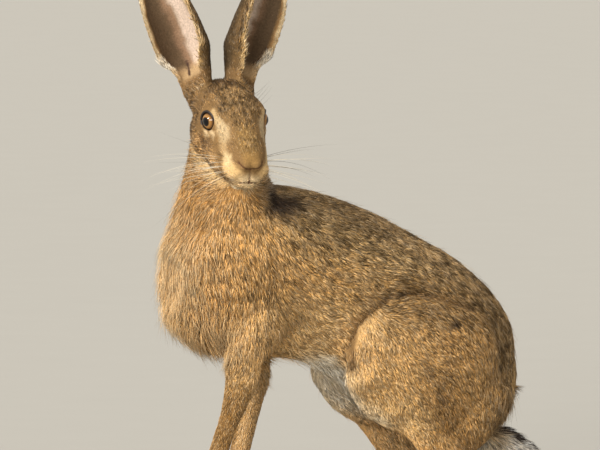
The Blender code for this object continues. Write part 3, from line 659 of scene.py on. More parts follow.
def lie_field(skin):
    """The coat's direction at each point of the skin, along the surface."""
    places = []
    ways = []
    for place, side, way in mirrored(BODY_LIES, 1):
        places.append(place)
        ways.append((way[0], way[1] * side, way[2]))
    for place, way in LEG_LIES:
        places.append(place)
        ways.append(way)
    body_count = len(places)
    for place, side, way in mirrored(HEAD_LIES, 1):
        places.append(head_point(*place))
        ways.append(np.array((way[0], way[1] * side, way[2])) @ SKULL_AXES)
    places = np.array(places, float)
    ways = unit(np.array(ways, float))
    on_head = on_face(skin.points, skin.kinds)
    guide_normals = []
    for index, place in enumerate(places):
        same = on_head if index >= body_count else ~on_head
        near = np.argmin(np.where(same, ((skin.points - place) ** 2).sum(1), np.inf))
        guide_normals.append(skin.normals[near])
    total = np.zeros_like(skin.points)
    for index, (place, way, normal) in enumerate(zip(places, ways, guide_normals)):
        distance = ((skin.points - place) ** 2).sum(1)
        alike = np.clip(skin.normals @ normal, 0.08, 1) ** 2
        softness = 60 if index >= body_count else 200
        family = np.where(on_head == (index >= body_count), 1.0, 0.03)
        total += way * (family * alike / (distance + softness) ** 2)[:, None]
    for side in (1, -1):
        away = skin.points - eye_centre(side)
        distance = np.linalg.norm(away, axis=1)
        pull = np.exp(-(((distance - EYE_RADIUS) / 4.0) ** 2)) * 0.9 * on_head
        total = mix(unit(total), unit(away), pull[:, None])
        ear = (skin.kinds == KINDS.index("ear")) & (skin.sides == side)
        _, along, _, out = ear_frame(side)
        total[ear] = along
        across = ear_place(skin.points, side)[1]
        rim = smooth_step((np.abs(across) - 0.75) / 0.2) * np.where(across > 0, 0.45, 1.0) * ear
        total = total + out * rim[:, None]
    flat = unit(total)
    flat = skin.spread(flat - skin.normals * (flat * skin.normals).sum(1)[:, None], 6)
    return unit(flat - skin.normals * (flat * skin.normals).sum(1)[:, None])


def marked(points, normals, shares, sides):
    """Ground colour, share of dark tips and frost at each point, from the marks."""
    ground = shares @ np.array([GROUNDS[kind][0] for kind in KINDS], float)
    ticking = shares @ np.array([GROUNDS[kind][1] for kind in KINDS])
    frost = np.zeros(len(points))
    part = dict(zip(KINDS, shares.T))
    trunk = part["torso"] + part["neck"]
    limbs = part["fore_leg"] + part["fore_paw"] + part["hind_leg"]
    body = 1 - part["head"] - part["ear"]
    in_skull = skull_place(points)
    throat = smooth_step((in_skull[:, 2] + 68) / 12) * smooth_step((in_skull[:, 0] + 38) / 14)
    head = part["head"] + part["neck"] * throat

    def lay(share, colour, dark, frosted=0.0):
        nonlocal ground, ticking, frost
        ground = mix(ground, np.array(colour, float), share[:, None])
        ticking = mix(ticking, dark, share)
        frost = mix(frost, frosted, share)

    uneven = points + (noise(points, 14, 5) - 0.5)[:, None] * 10
    below_spine = np.interp(points[:, 0], *zip(*SPINE)) - uneven[:, 2]
    above_belly = uneven[:, 2] - np.interp(points[:, 0], *zip(*UNDERLINE))
    along_back = smooth_step((points[:, 0] + 105) / 40)
    lay(smooth_step((85 - below_spine) / 65) * along_back * trunk, BACK_GROUND, 0.58)
    lay(smooth_step((34 - below_spine) / 30) * along_back * trunk, SPINE_GROUND, 0.80)
    for place, side, radii, colour, dark, strength, frosted in mirrored(BODY_MARKS, 1):
        lay(blob(uneven, place, radii, 0.8) * strength * body, colour, dark, frosted)
    # Painted shade along the folds round the thigh.
    lay(crease_share(points)[0] * 0.7 * body, CREASE_PAINTED_SHADE, 0.55)
    under = smooth_step((15 - above_belly) / 16) * smooth_step((points[:, 0] + 72) / 45)
    lay(under * trunk, BELLY_GROUND, 0.02, 0.4)
    middle = smooth_step((-normals[:, 1] * np.sign(points[:, 1]) - 0.1) / 0.5)
    lay(middle * limbs * 0.8, INNER_LEG_GROUND, 0.02)
    high = smooth_step((points[:, 2] - 66) / 26)
    lay(middle * high * part["hind_leg"], BELLY_GROUND, 0.02, 0.4)
    tail_top = smooth_step((normals[:, 2] + noise(points, 6, 9) * 0.4 - 0.72) / 0.25)
    lay(tail_top * part["tail"], TAIL_TOP_GROUND, 0.7)
    wavy = in_skull + (noise(points, 5, 6) - 0.5)[:, None] * 3
    for spot, side, radii, colour, dark, strength, frosted in mirrored(HEAD_MARKS, 1):
        lay(blob(wavy, spot, radii, 0.45) * strength * head, colour, dark, frosted)
    # The muzzle's slits and the mouth get painted shade.
    lay(smooth_step((0.8 - face_line_distance(points)) / 0.9) * head, SLIT_PAINTED_SHADE, 0.0)
    for side in (1, -1):
        ear_marks(lay, points, side, part["ear"] * (sides == side))
    return ground, ticking, frost


# Bands of an ear's cup and back: place across from the inner to the outer rim, half width,
# colour, share of dark tips.
CUP_BANDS = (
    (-1.00, 0.14, (232, 192, 132), 0.05),
    (-0.66, 0.26, (212, 170, 114), 0.08),
    (-0.10, 0.26, (226, 204, 186), 0.0),
    (0.24, 0.10, (168, 134, 106), 0.1),
    (0.55, 0.28, (120, 98, 74), 0.4),
    (0.86, 0.06, (176, 138, 90), 0.1),
    (0.98, 0.10, (255, 230, 184), 0.0),
)
BACK_BANDS = (
    (-0.97, 0.12, (200, 162, 106), 0.1),
    (-0.78, 0.12, (126, 98, 62), 0.35),
    (-0.40, 0.28, (95, 75, 49), 0.6),
    (0.30, 0.42, (102, 84, 58), 0.6),
    (0.90, 0.16, (222, 192, 144), 0.1),
)
# How far the bands lie to the outer rim in each ear.
CUP_SHIFTS = {-1: 0.0, 1: 0.24}
# The dark slit low in the cup is painted shade.
CUP_SLIT = ((0.25, 0.086), (0.18, 0.112), (0.15, 0.145))
LOBE_SHARE = 0.265


def ear_marks(lay, points, side, own):
    share, across, inside = ear_place(points, side)
    slit = line_distance(np.column_stack((share, across * 0.3)), CUP_SLIT)
    across = across + (noise(points, 6, 11) - 0.5) * 0.12
    across -= CUP_SHIFTS[side] * (1 - np.minimum(np.abs(across), 1)) * inside
    for bands, here in ((CUP_BANDS, inside), (BACK_BANDS, ~inside)):
        for centre, half, colour, dark in bands:
            close = smooth_step((half * 1.5 - np.abs(across - centre)) / (half * 1.0))
            lay(close * own * here, colour, dark)
    fringe = smooth_step((-0.72 - across - 0.16 * ~inside) / 0.14)
    lay(fringe * own, (226, 192, 138), 0.02, 0.6)
    lay(smooth_step((0.25 - share) / 0.07) * inside * own, (206, 174, 130), 0.08)
    lay(smooth_step((0.15 - share) / 0.06) * own, (158, 122, 78), 0.35)
    # Painted shade in the slit low in the cup.
    lay(smooth_step((0.014 - slit) / 0.010) * inside * own, (84, 62, 52), 0.2)
    tip = smooth_step((share - 0.86) / 0.06) * own * np.where(inside, 0.55, 1.0)
    lay(tip, (44, 36, 32), 0.7)
    lay(lobe_share(share, across) * own, (252, 240, 218), 0.0)


def lobe_share(share, across):
    """How much a place on an ear is on the pale lobe low on the outer rim."""
    return smooth_step((0.08 - np.abs(share - LOBE_SHARE)) / 0.04) * smooth_step((across - 0.70) / 0.16)


def coat_fields(skin):
    """Sets the skin's fields for length, depth, lift and width of the coat."""
    factors = np.ones((3, len(skin.points)))
    head = on_face(skin.points, skin.kinds)
    ear = skin.kinds == KINDS.index("ear")
    for place, side, radii, *values in mirrored(BODY_LENGTHS, 1):
        share = blob(skin.points, place, radii) * ~(head | ear)
        for row, value in enumerate(values):
            factors[row] = mix(factors[row], value, share)
    place = skull_place(skin.points)
    for spot, side, radii, *values in mirrored(HEAD_LENGTHS, 1):
        share = blob(place, spot, radii) * head
        for row, value in enumerate(values):
            factors[row] = mix(factors[row], value, share)
    factors[0] *= 1 - 0.4 * crease_share(skin.points)[0]
    base = skin.shares @ np.array([COATS[kind][:5] for kind in KINDS])
    throat = skin.shares[:, KINDS.index("neck")] * smooth_step((place[:, 2] + 66) / 14)
    throat *= smooth_step((place[:, 0] + 38) / 14)
    base[:, 0] = mix(base[:, 0], 8.5, throat)
    base[:, 1] = mix(base[:, 1], 1.2, throat)
    length, depth, lift = base[:, :3].T * factors
    for side in (1, -1):
        distance = np.linalg.norm(skin.points - eye_centre(side), axis=1)
        bare = smooth_step((EYE_RADIUS + 7 - distance) / 6) * head
        length = mix(length, 1.3, bare)
        depth = mix(depth, 0.0, bare)
        share, across, inside = ear_place(skin.points, side)
        own = ear & (skin.sides == side)
        rim = smooth_step((np.abs(across) - 0.78) / 0.18)
        length = np.where(own & inside, mix(2.6, 3.8, rim), length)
        lift = mix(lift, 34, rim * own)
        fringe = smooth_step((-0.80 - across) / 0.14) * smooth_step((0.9 - share) / 0.15)
        fringe *= smooth_step((share - 0.16) / 0.1)
        length = mix(length, 10.0, fringe * own)
        length = mix(length, 9.5, lobe_share(share, across) * own)
    still = np.column_stack((length, depth, lift, base[:, 3:]))
    still[:, 3] -= np.degrees(np.clip(curvature(skin), -0.006, 0.03) * length * 0.55)
    still[:, 1:] = skin.spread(still[:, 1:], 14)
    still[:, 0] = skin.spread(still[:, 0], 4)
    for side in (1, -1):
        distance = np.linalg.norm(skin.points - eye_centre(side), axis=1)
        keep = smooth_step((distance - EYE_RADIUS - 2.2) / 4)
        still[:, 1] = np.where(head, still[:, 1] * keep, still[:, 1])
    still[:, 1] = np.where(ear, np.minimum(still[:, 1], COATS["ear"][1]), still[:, 1])
    skin.coat = still


# A chart of the unwrap takes the faces of one node kind and side that look along one axis.
CHART_MARGIN = 4.0


def unwrap(skin):
    """A flat map of the skin: each triangle's three corners, laid out in charts without overlap."""
    corners = skin.points[skin.triangles]
    face = np.cross(corners[:, 1] - corners[:, 0], corners[:, 2] - corners[:, 0])
    facing = np.argmax(np.abs(face), axis=1)
    sign = np.take_along_axis(face, facing[:, None], 1)[:, 0] > 0
    kind = skin.kinds[skin.triangles[:, 0]]
    side = skin.sides[skin.triangles[:, 0]]
    chart = ((kind * 2 + (side > 0)) * 3 + facing) * 2 + sign
    flat = np.empty((len(face), 3, 2))
    for axis in range(3):
        rows = facing == axis
        others = [other for other in range(3) if other != axis]
        flat[rows] = corners[rows][:, :, others]
    boxes = []
    for name in np.unique(chart):
        rows = chart == name
        low = flat[rows].reshape(-1, 2).min(0)
        size = flat[rows].reshape(-1, 2).max(0) - low + CHART_MARGIN
        boxes.append((size[1], size[0], name, low))
    boxes.sort(key=lambda box: (-box[0], box[2]))
    width = 1.08 * math.sqrt(sum(box[0] * box[1] for box in boxes))
    x = y = shelf = 0.0
    for tall, wide, name, low in boxes:
        if x + wide > width:
            x = 0.0
            y += shelf
            shelf = 0.0
        rows = chart == name
        flat[rows] += np.array((x, y)) - low + CHART_MARGIN / 2
        x += wide
        shelf = max(shelf, tall)
    return flat / max(width, y + shelf)


def mesh_of(name, points, triangles, colours=None, corner_map=None, smooth=True):
    """A mesh object in the model's frame from arrays in the tables' frame."""
    data = bpy.data.meshes.new(name)
    data.vertices.add(len(points))
    data.vertices.foreach_set("co", to_row(points).astype(np.float32).ravel())
    data.loops.add(len(triangles) * 3)
    data.loops.foreach_set("vertex_index", np.ascontiguousarray(triangles, np.int32).ravel())
    data.polygons.add(len(triangles))
    data.polygons.foreach_set("loop_start", np.arange(len(triangles), dtype=np.int32) * 3)
    data.polygons.foreach_set("use_smooth", np.full(len(triangles), smooth))
    data.update(calc_edges=True)
    if colours is not None:
        layer = data.color_attributes.new(name="markings", type="FLOAT_COLOR", domain="POINT")
        rgba = np.column_stack((to_linear(colours), np.ones(len(colours))))
        layer.data.foreach_set("color", rgba.astype(np.float32).ravel())
    if corner_map is not None:
        layer = data.uv_layers.new(name="OFBake")
        layer.uv.foreach_set("vector", corner_map.astype(np.float32).ravel())
    return new_object(name, data)


def scatter(skin, chosen, spacing, seed):
    """Evenly spread places on the chosen triangles: triangle numbers and corner shares."""
    rng = np.random.default_rng(seed)
    corners = skin.points[skin.triangles[chosen]]
    area = np.linalg.norm(np.cross(corners[:, 1] - corners[:, 0], corners[:, 2] - corners[:, 0]), axis=1) / 2
    count = int(3.2 * area.sum() / spacing**2)
    picked = rng.choice(len(chosen), size=count, p=area / area.sum())
    shares = rng.dirichlet((1, 1, 1), count)
    places = (corners[picked] * shares[:, :, None]).sum(1)
    cells = np.floor(places / spacing).astype(np.int64)
    keys = (cells[:, 0] * 4001 + cells[:, 1]) * 4001 + cells[:, 2]
    first = np.unique(keys, return_index=True)[1]
    return chosen[picked[first]], shares[first]


def turned(vectors, axes, angles):
    """Vectors turned about unit axes that are square to them."""
    cos = np.cos(angles)[:, None]
    sin = np.sin(angles)[:, None]
    return vectors * cos + np.cross(axes, vectors) * sin


# A tuft is a spindle: its root is point 0, then come its rings of three, and its tip is last.
RING = 3
PATCH = 0.003


def tuft_pattern(rings):
    """Triangles of one tuft, and each corner's place on its patch of the map."""
    tip = rings * RING + 1
    triangles = []
    spots = []
    for side in range(RING):
        after = (side + 1) % RING
        left, middle, right = (side / RING - 0.5, (side + 0.5) / RING - 0.5, (side + 1) / RING - 0.5)
        rows = [step / (rings + 1) - 0.5 for step in range(rings + 2)]
        triangles.append((0, 1 + after, 1 + side))
        spots += [(middle, rows[0]), (right, rows[1]), (left, rows[1])]
        for ring in range(rings - 1):
            a = 1 + ring * RING + side
            b = 1 + ring * RING + after
            triangles += [(a, b, b + RING), (a, b + RING, a + RING)]
            low, high = rows[ring + 1], rows[ring + 2]
            spots += [(left, low), (right, low), (right, high)]
            spots += [(left, low), (right, high), (left, high)]
        triangles.append((tip - RING + side, tip - RING + after, tip))
        spots += [(left, rows[-2]), (right, rows[-2]), (middle, rows[-1])]
    return np.array(triangles), np.array(spots) * PATCH


# Where a tuft's rings are along it and how wide each is, and its thickness for its width.
TUFT_RINGS = {1: ((0.36, 1.0),), 2: ((0.28, 0.9), (0.64, 0.8))}
TUFT_RIDGE = 0.28


def tuft_arrays(coat, rings):
    """Points, triangles, colours and map of many tufts."""
    count = len(coat["root"])
    side = np.cross(coat["normal"], coat["lie"])
    centre = coat["root"] - coat["normal"] * SINK
    points = np.empty((count, rings * RING + 2, 3))
    colours = np.empty((count, rings * RING + 2, 3))
    points[:, 0] = centre
    colours[:, 0] = coat["colour"](0.0)
    steps = [0.0] + [share for share, _ in TUFT_RINGS[rings]] + [1.0]
    for ring in range(rings + 1):
        lean = mix(coat["lift"], coat["tip_lift"], ring / rings)
        way = coat["lie"] * np.cos(lean)[:, None] + coat["normal"] * np.sin(lean)[:, None]
        way = unit(way + side * (coat["sway"] * steps[ring + 1])[:, None])
        centre = centre + way * (coat["length"] * (steps[ring + 1] - steps[ring]))[:, None]
        if ring == rings:
            break
        width = (coat["width"] * TUFT_RINGS[rings][ring][1])[:, None]
        for corner, (across, rise) in enumerate(((0.5, 0.0), (0.0, TUFT_RIDGE), (-0.5, 0.0))):
            index = 1 + ring * RING + corner
            points[:, index] = centre + side * width * across + coat["normal"] * width * rise
            colours[:, index] = coat["colour"](steps[ring + 1])
    points[:, -1] = centre
    colours[:, -1] = coat["colour"](1.0)
    points[:, :, 2] = np.maximum(points[:, :, 2], FLOOR_CLEAR)
    pattern, spots = tuft_pattern(rings)
    triangles = (np.arange(count)[:, None, None] * (rings * RING + 2) + pattern).reshape(-1, 3)
    places = (coat["map"][:, None, :] + spots).reshape(-1, 2)
    return points.reshape(-1, 3), triangles, colours.reshape(-1, 3), places


# Size of a coat's colour grain, how patchy it is and how much its tufts differ.
COAT_GRAIN = (3.0, 0.20, 0.11)
COAT_GRAINS = {
    "head": (1.9, 0.7, 0.11),
    "ear": (1.7, 0.42, 0.11),
    "hind_leg": (3.0, 0.18, 0.09),
    "fore_leg": (3.0, 0.14, 0.05),
    "fore_paw": (3.0, 0.14, 0.05),
    "hind_foot": (3.0, 0.14, 0.05),
}


def tuft_colours(ground, ticking, frost, points, grain, patchy, differing, rng):
    """A function from the share of the length to each tuft's colour there."""
    count = len(ground)
    mottle = noise(points, grain * 2.2, 21) * 0.5 + noise(points, grain, 22) * 0.5
    chance = ticking * (0.15 + 1.7 * smooth_step((mottle - 0.42) / 0.20))
    dark = (rng.random(count) < chance)[:, None]
    shade = (rng.normal(1.0, differing, count) + (noise(points, grain, 23) - 0.5) * patchy)[:, None]
    warm = rng.normal(0.0, 4.0, count)[:, None] * np.array((1.0, 0.2, -1.0))
    body = np.maximum(ground * shade + warm, 0)
    warmth = np.clip((ground[:, :1] - ground[:, 2:]) / 90, 0, 1)
    cream = (rng.random(count) < 0.28)[:, None]
    body = np.where(cream, mix(body, np.array(CREAM, float), 0.24 * warmth), mix(body, body * DEEPER, warmth))
    body *= np.minimum(1, 252 / body.max(1))[:, None]
    pale = mix(body * 0.97, 255.0, np.where(rng.random(count) < 0.3, 0.36, 0.12)[:, None])
    frosted = (rng.random(count) < frost)[:, None]
    tip = np.where(dark, np.array(DARK_TIP, float), np.where(frosted, np.array(FROST, float), pale))
    stops = (body * 0.82, np.where(dark, body * 0.78, body), tip)

    def colour(share):
        if share < 0.4:
            return mix(stops[0], stops[1], share / 0.4)
        return mix(stops[1], stops[2], (share - 0.4) / 0.6)

    return colour


def coat_material(name, roughness, grain, bump):
    """Fur, from the painted markings, with a fine uneven grain."""
    made = bpy.data.materials.new(name)
    made.use_nodes = True
    nodes = made.node_tree.nodes
    links = made.node_tree.links
    shader = nodes["Principled BSDF"]
    shader.inputs["Roughness"].default_value = roughness
    shader.inputs["Specular IOR Level"].default_value = 0.12
    paint = nodes.new("ShaderNodeAttribute")
    paint.attribute_name = "markings"
    speckle = nodes.new("ShaderNodeTexNoise")
    speckle.inputs["Scale"].default_value = grain
    speckle.inputs["Detail"].default_value = 3
    ramp = nodes.new("ShaderNodeValToRGB")
    ramp.color_ramp.elements[0].position = 0.3
    ramp.color_ramp.elements[0].color = (0.72, 0.72, 0.72, 1)
    ramp.color_ramp.elements[1].position = 0.7
    ramp.color_ramp.elements[1].color = (1.1, 1.1, 1.1, 1)
    blend = nodes.new("ShaderNodeMix")
    blend.data_type = "RGBA"
    blend.blend_type = "MULTIPLY"
    blend.inputs["Factor"].default_value = 1.0
    relief = nodes.new("ShaderNodeBump")
    relief.inputs["Strength"].default_value = bump
    relief.inputs["Distance"].default_value = 0.0004
    place = nodes.new("ShaderNodeTexCoord")
    links.new(place.outputs["Object"], speckle.inputs["Vector"])
    links.new(speckle.outputs["Fac"], ramp.inputs["Fac"])
    links.new(paint.outputs["Color"], blend.inputs["A"])
    links.new(ramp.outputs["Color"], blend.inputs["B"])
    links.new(blend.outputs["Result"], shader.inputs["Base Color"])
    links.new(speckle.outputs["Fac"], relief.inputs["Height"])
    links.new(relief.outputs["Normal"], shader.inputs["Normal"])
    return made


def finish_piece(piece, material):
    piece.data.materials.append(material)
    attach(piece, "root")
    return piece


# How many rings the tufts of each kind have.
COAT_RINGS = {kind: 2 if kind == "tail" else 1 for kind in KINDS}


def grow_coat(skin, kind, material):
    """The tufts of one kind of node, in pieces of a limited size."""
    number = KINDS.index(kind)
    rings = COAT_RINGS[kind]
    chosen = np.flatnonzero(skin.kinds[skin.triangles[:, 0]] == number)
    found, shares = scatter(skin, chosen, COATS[kind][5], 100 + number)
    rng = np.random.default_rng(200 + number)
    corners = skin.triangles[found]

    def at(field):
        return (field[corners] * shares.reshape(len(shares), 3, *[1] * (field.ndim - 1))).sum(1)

    root = at(skin.points)
    outline = at(skin.outline)
    normal = unit(at(skin.normals))
    lie = at(skin.lies)
    lie = unit(lie - normal * (lie * normal).sum(1)[:, None])
    length, _, lift, tip_lift, width = at(skin.coat).T
    keep = face_line_distance(outline) > 0.45
    for side in (1, -1):
        away = outline - eye_centre(side)
        keep &= np.linalg.norm(away, axis=1) > EYE_RADIUS + 2.2
    keep &= root[:, 2] > 0.8
    keep &= length > 0.8
    sides = skin.sides[corners[:, 0]]
    ground, ticking, frost = marked(outline, normal, at(skin.shares), sides)
    coherent = (noise(outline, 9, 31) - 0.5) * 0.55 + (noise(outline, 22, 32) - 0.5) * 0.6
    jitter = rng.normal(0, 0.13, len(root))
    lie = turned(lie, normal, coherent * np.clip(length / 14, 0.25, 1.3) + jitter)
    clump = noise(outline, 5, 33)
    stray_share = np.full(len(root), STRAY_SHARE)
    for place, side, radii, share in mirrored(STRAYS, 1):
        stray_share = np.maximum(stray_share, blob(outline, place, radii) * share)
    stray = (rng.random(len(root)) < stray_share) & (length > 8)
    frost = np.where(stray, 1.0, frost)
    thin = np.clip(length / COATS[kind][0], 0.6, 1.15) * np.where(stray, 0.5, 1)
    coat = {
        "root": root,
        "normal": normal,
        "lie": lie,
        "length": length * rng.uniform(0.72, 1.15, len(root)) * (0.88 + 0.24 * clump + 0.5 * stray),
        "width": width * rng.uniform(0.75, 1.2, len(root)) * thin,
        "lift": np.radians(lift * (0.82 + 0.36 * clump + 0.3 * stray) + rng.normal(0, 3, len(root))),
        "tip_lift": np.radians(tip_lift + 12 * stray + rng.normal(0, 5, len(root))),
        "sway": rng.normal(0, 0.12, len(root)),
        "map": (skin.map[found] * shares[:, :, None]).sum(1),
    }
    coat = {name: values[keep] for name, values in coat.items()}
    colour_inputs = [values[keep] for values in (ground, ticking, frost, outline)]
    order = np.argsort(coat["root"][:, 0], kind="stable")
    per_tuft = len(tuft_pattern(rings)[0])
    parts = math.ceil(len(order) * per_tuft / PIECE_TRIANGLES)
    for index, rows in enumerate(np.array_split(order, parts)):
        part = {name: values[rows] for name, values in coat.items()}
        grain = COAT_GRAINS.get(kind, COAT_GRAIN)
        part["colour"] = tuft_colours(*(values[rows] for values in colour_inputs), *grain, rng)
        piece = mesh_of(f"coat_{kind}_{index + 1}", *tuft_arrays(part, rings))
        finish_piece(piece, material)
    print("COAT", kind, len(order), "tufts", len(order) * per_tuft, "triangles")


def make_skin():
    data = fused_skin()
    skin = Skin(data)
    skin.kinds, skin.sides = nearest_kinds(skin.points)
    skin.shares = skin.spread(np.eye(len(KINDS))[skin.kinds], 24)
    coat_fields(skin)
    # The fold between knee and thigh is only a soft dip under the coat.
    soft = sum(blob(skin.points, place, (22, 20, 26), 0.5) for place, _ in mirrored((KNEE_FOLD,), 1))
    soft *= skin.shares[:, KINDS.index("hind_leg")] ** 3
    skin.points = mix(skin.points, skin.spread(skin.points, 45), soft[:, None])
    skin.normals = skin.vertex_normals()
    inward = unit(skin.spread(skin.normals, 3))
    lines = FACE_LINE_DEPTH * np.exp(-((np.maximum(face_line_distance(skin.points), 0) / 0.9) ** 2))
    depth = skin.coat[:, 1] + crease_share(skin.points)[1] + lines
    skin.points = skin.points - inward * depth[:, None]
    # The trunk and the thighs grow their coat from an evened form, so that no facet shows.
    even = skin.shares[:, [KINDS.index(kind) for kind in ("torso", "neck", "hind_leg")]].sum(1)
    plain = skin.vertex_normals()
    skin.normals = unit(mix(plain, skin.spread(plain, 24), even[:, None]))
    skin.lies = lie_field(skin)
    skin.map = unwrap(skin)
    ground, ticking, _ = marked(skin.outline, skin.normals, skin.shares, skin.sides)
    # The skin is painted darker than the coat's ground: the factor 0.88 is painted shade between the tufts,
    # and the skin darkens further where the coat has dark tips.
    colours = ground * (0.88 * (1 - 0.3 * ticking))[:, None]
    piece = mesh_of("skin", skin.points, skin.triangles, colours, skin.map.reshape(-1, 2))
    finish_piece(piece, coat_material("skin", 0.8, 700, 0.5))
    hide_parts(*FLESH)
    return skin


# Eye: radii of pupil and iris as shares of the eye's, and the bulge of the cornea.
PUPIL = 0.42
IRIS = 0.76
CORNEA_BULGE = 0.9


def eye_material():
    """Amber iris with a dark pupil, laid out round the eye's own axis, under a wet gloss."""
    made = bpy.data.materials.new("eye")
    made.use_nodes = True
    nodes = made.node_tree.nodes
    links = made.node_tree.links
    shader = nodes["Principled BSDF"]
    shader.inputs["Roughness"].default_value = 0.08
    shader.inputs["Specular IOR Level"].default_value = 0.2
    shader.inputs["Coat Weight"].default_value = 0.2
    shader.inputs["Coat Roughness"].default_value = 0.02
    place = nodes.new("ShaderNodeTexCoord")
    parts = nodes.new("ShaderNodeSeparateXYZ")
    flat = nodes.new("ShaderNodeCombineXYZ")
    length = nodes.new("ShaderNodeVectorMath")
    length.operation = "LENGTH"
    share = nodes.new("ShaderNodeMath")
    share.operation = "DIVIDE"
    share.inputs[1].default_value = EYE_RADIUS * MM
    streaks = nodes.new("ShaderNodeTexNoise")
    streaks.inputs["Scale"].default_value = 1400
    streaks.inputs["Detail"].default_value = 4
    sway = nodes.new("ShaderNodeMath")
    sway.operation = "MULTIPLY_ADD"
    sway.inputs[1].default_value = 0.10
    ramp = nodes.new("ShaderNodeValToRGB")
    stops = (
        (0.0, (8, 7, 7)),
        (PUPIL - 0.01, (8, 7, 7)),
        (PUPIL + 0.03, (84, 58, 34)),
        (PUPIL + 0.10, (156, 116, 64)),
        (IRIS - 0.12, (134, 94, 48)),
        (IRIS - 0.02, (62, 42, 26)),
        (IRIS + 0.04, (22, 16, 12)),
    )
    ramp.color_ramp.elements.remove(ramp.color_ramp.elements[1])
    for index, (position, colour) in enumerate(stops):
        stop = ramp.color_ramp.elements[0] if index == 0 else ramp.color_ramp.elements.new(position)
        stop.position = position
        stop.color = (*to_linear(colour), 1)
    links.new(place.outputs["Object"], parts.inputs["Vector"])
    links.new(parts.outputs["X"], flat.inputs["X"])
    links.new(parts.outputs["Y"], flat.inputs["Y"])
    links.new(flat.outputs["Vector"], length.inputs[0])
    links.new(length.outputs["Value"], share.inputs[0])
    links.new(place.outputs["Object"], streaks.inputs["Vector"])
    links.new(streaks.outputs["Fac"], sway.inputs[0])
    links.new(share.outputs["Value"], sway.inputs[2])
    links.new(sway.outputs["Value"], ramp.inputs["Fac"])
    links.new(ramp.outputs["Color"], shader.inputs["Base Color"])
    return made


def frame_matrix(middle, axis):
    """A matrix that stands an object at the middle with its z along the axis, in metres."""
    turn = Vector(axis).to_track_quat("Z", "Y").to_matrix().to_4x4()
    return Matrix.Translation(Vector(to_row(middle))) @ turn


def make_eye(side, material):
    ball = bmesh.new()
    bmesh.ops.create_uvsphere(ball, u_segments=64, v_segments=48, radius=EYE_RADIUS)
    for vertex in ball.verts:
        off_axis = math.hypot(vertex.co.x, vertex.co.y) / EYE_RADIUS
        if vertex.co.z > 0:
            vertex.co *= 1 + CORNEA_BULGE / EYE_RADIUS * float(smooth_step((IRIS - off_axis) / IRIS))
    bmesh.ops.scale(ball, vec=(MM, MM, MM), verts=ball.verts)
    word = "left" if side > 0 else "right"
    data = bpy.data.meshes.new(f"eyeball_{word}")
    ball.to_mesh(data)
    ball.free()
    data.shade_smooth()
    eye = new_object(f"eyeball_{word}", data)
    eye.matrix_world = frame_matrix(eye_centre(side), eye_axis(side))
    finish_piece(eye, material)
    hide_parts(f"eye_{word}")


def plain_material(name, colour, roughness, grain, coat=0.0, contrast=0.22):
    """A coloured surface with slight unevenness of tone and relief."""
    made = bpy.data.materials.new(name)
    made.use_nodes = True
    nodes = made.node_tree.nodes
    links = made.node_tree.links
    shader = nodes["Principled BSDF"]
    shader.inputs["Roughness"].default_value = roughness
    shader.inputs["Coat Weight"].default_value = coat
    speckle = nodes.new("ShaderNodeTexNoise")
    speckle.inputs["Scale"].default_value = grain
    ramp = nodes.new("ShaderNodeValToRGB")
    for stop, tone in zip(ramp.color_ramp.elements, (1 - contrast, 1 + contrast)):
        stop.color = (*np.clip(to_linear(colour) * tone, 0, 1), 1)
    relief = nodes.new("ShaderNodeBump")
    relief.inputs["Strength"].default_value = 0.2
    relief.inputs["Distance"].default_value = 0.0003
    links.new(speckle.outputs["Fac"], ramp.inputs["Fac"])
    links.new(ramp.outputs["Color"], shader.inputs["Base Color"])
    links.new(speckle.outputs["Fac"], relief.inputs["Height"])
    links.new(relief.outputs["Normal"], shader.inputs["Normal"])
    return made


def tube_arrays(path, radii, sides, closed=False):
    """Points and triangles of a tube round a path, pointed or capped at its ends."""
    path = np.asarray(path, float)
    count = len(path)
    if closed:
        along = unit(np.roll(path, -1, 0) - np.roll(path, 1, 0))
    else:
        along = unit(np.gradient(path, axis=0))
    rough = UP if abs(along[0] @ UP) < 0.9 else np.array((1.0, 0.0, 0.0))
    side = unit(np.cross(along, rough))
    rise = np.cross(along, side)
    turns = 2 * np.pi * np.arange(sides) / sides
    ring = side[:, None] * np.cos(turns)[:, None] + rise[:, None] * np.sin(turns)[:, None]
    points = (path[:, None] + ring * np.asarray(radii)[:, None, None]).reshape(-1, 3)
    triangles = []
    last = count if closed else count - 1
    for step in range(last):
        for k in range(sides):
            a = step * sides + k
            b = step * sides + (k + 1) % sides
            c = (step + 1) % count * sides + k
            d = (step + 1) % count * sides + (k + 1) % sides
            triangles += [(a, b, d), (a, d, c)]
    if not closed:
        for k in range(1, sides - 1):
            triangles.append((0, k + 1, k))
            end = (count - 1) * sides
            triangles.append((end, end + k, end + k + 1))
    return points, np.array(triangles)


def joined(arrays):
    """One set of points and triangles from several."""
    points = []
    triangles = []
    start = 0
    for some_points, some_triangles in arrays:
        points.append(some_points)
        triangles.append(some_triangles + start)
        start += len(some_points)
    return np.concatenate(points), np.concatenate(triangles)


LID_RADII = (8.9, 8.5)
LID_THICK = 1.05
LID_OUT = 1.2


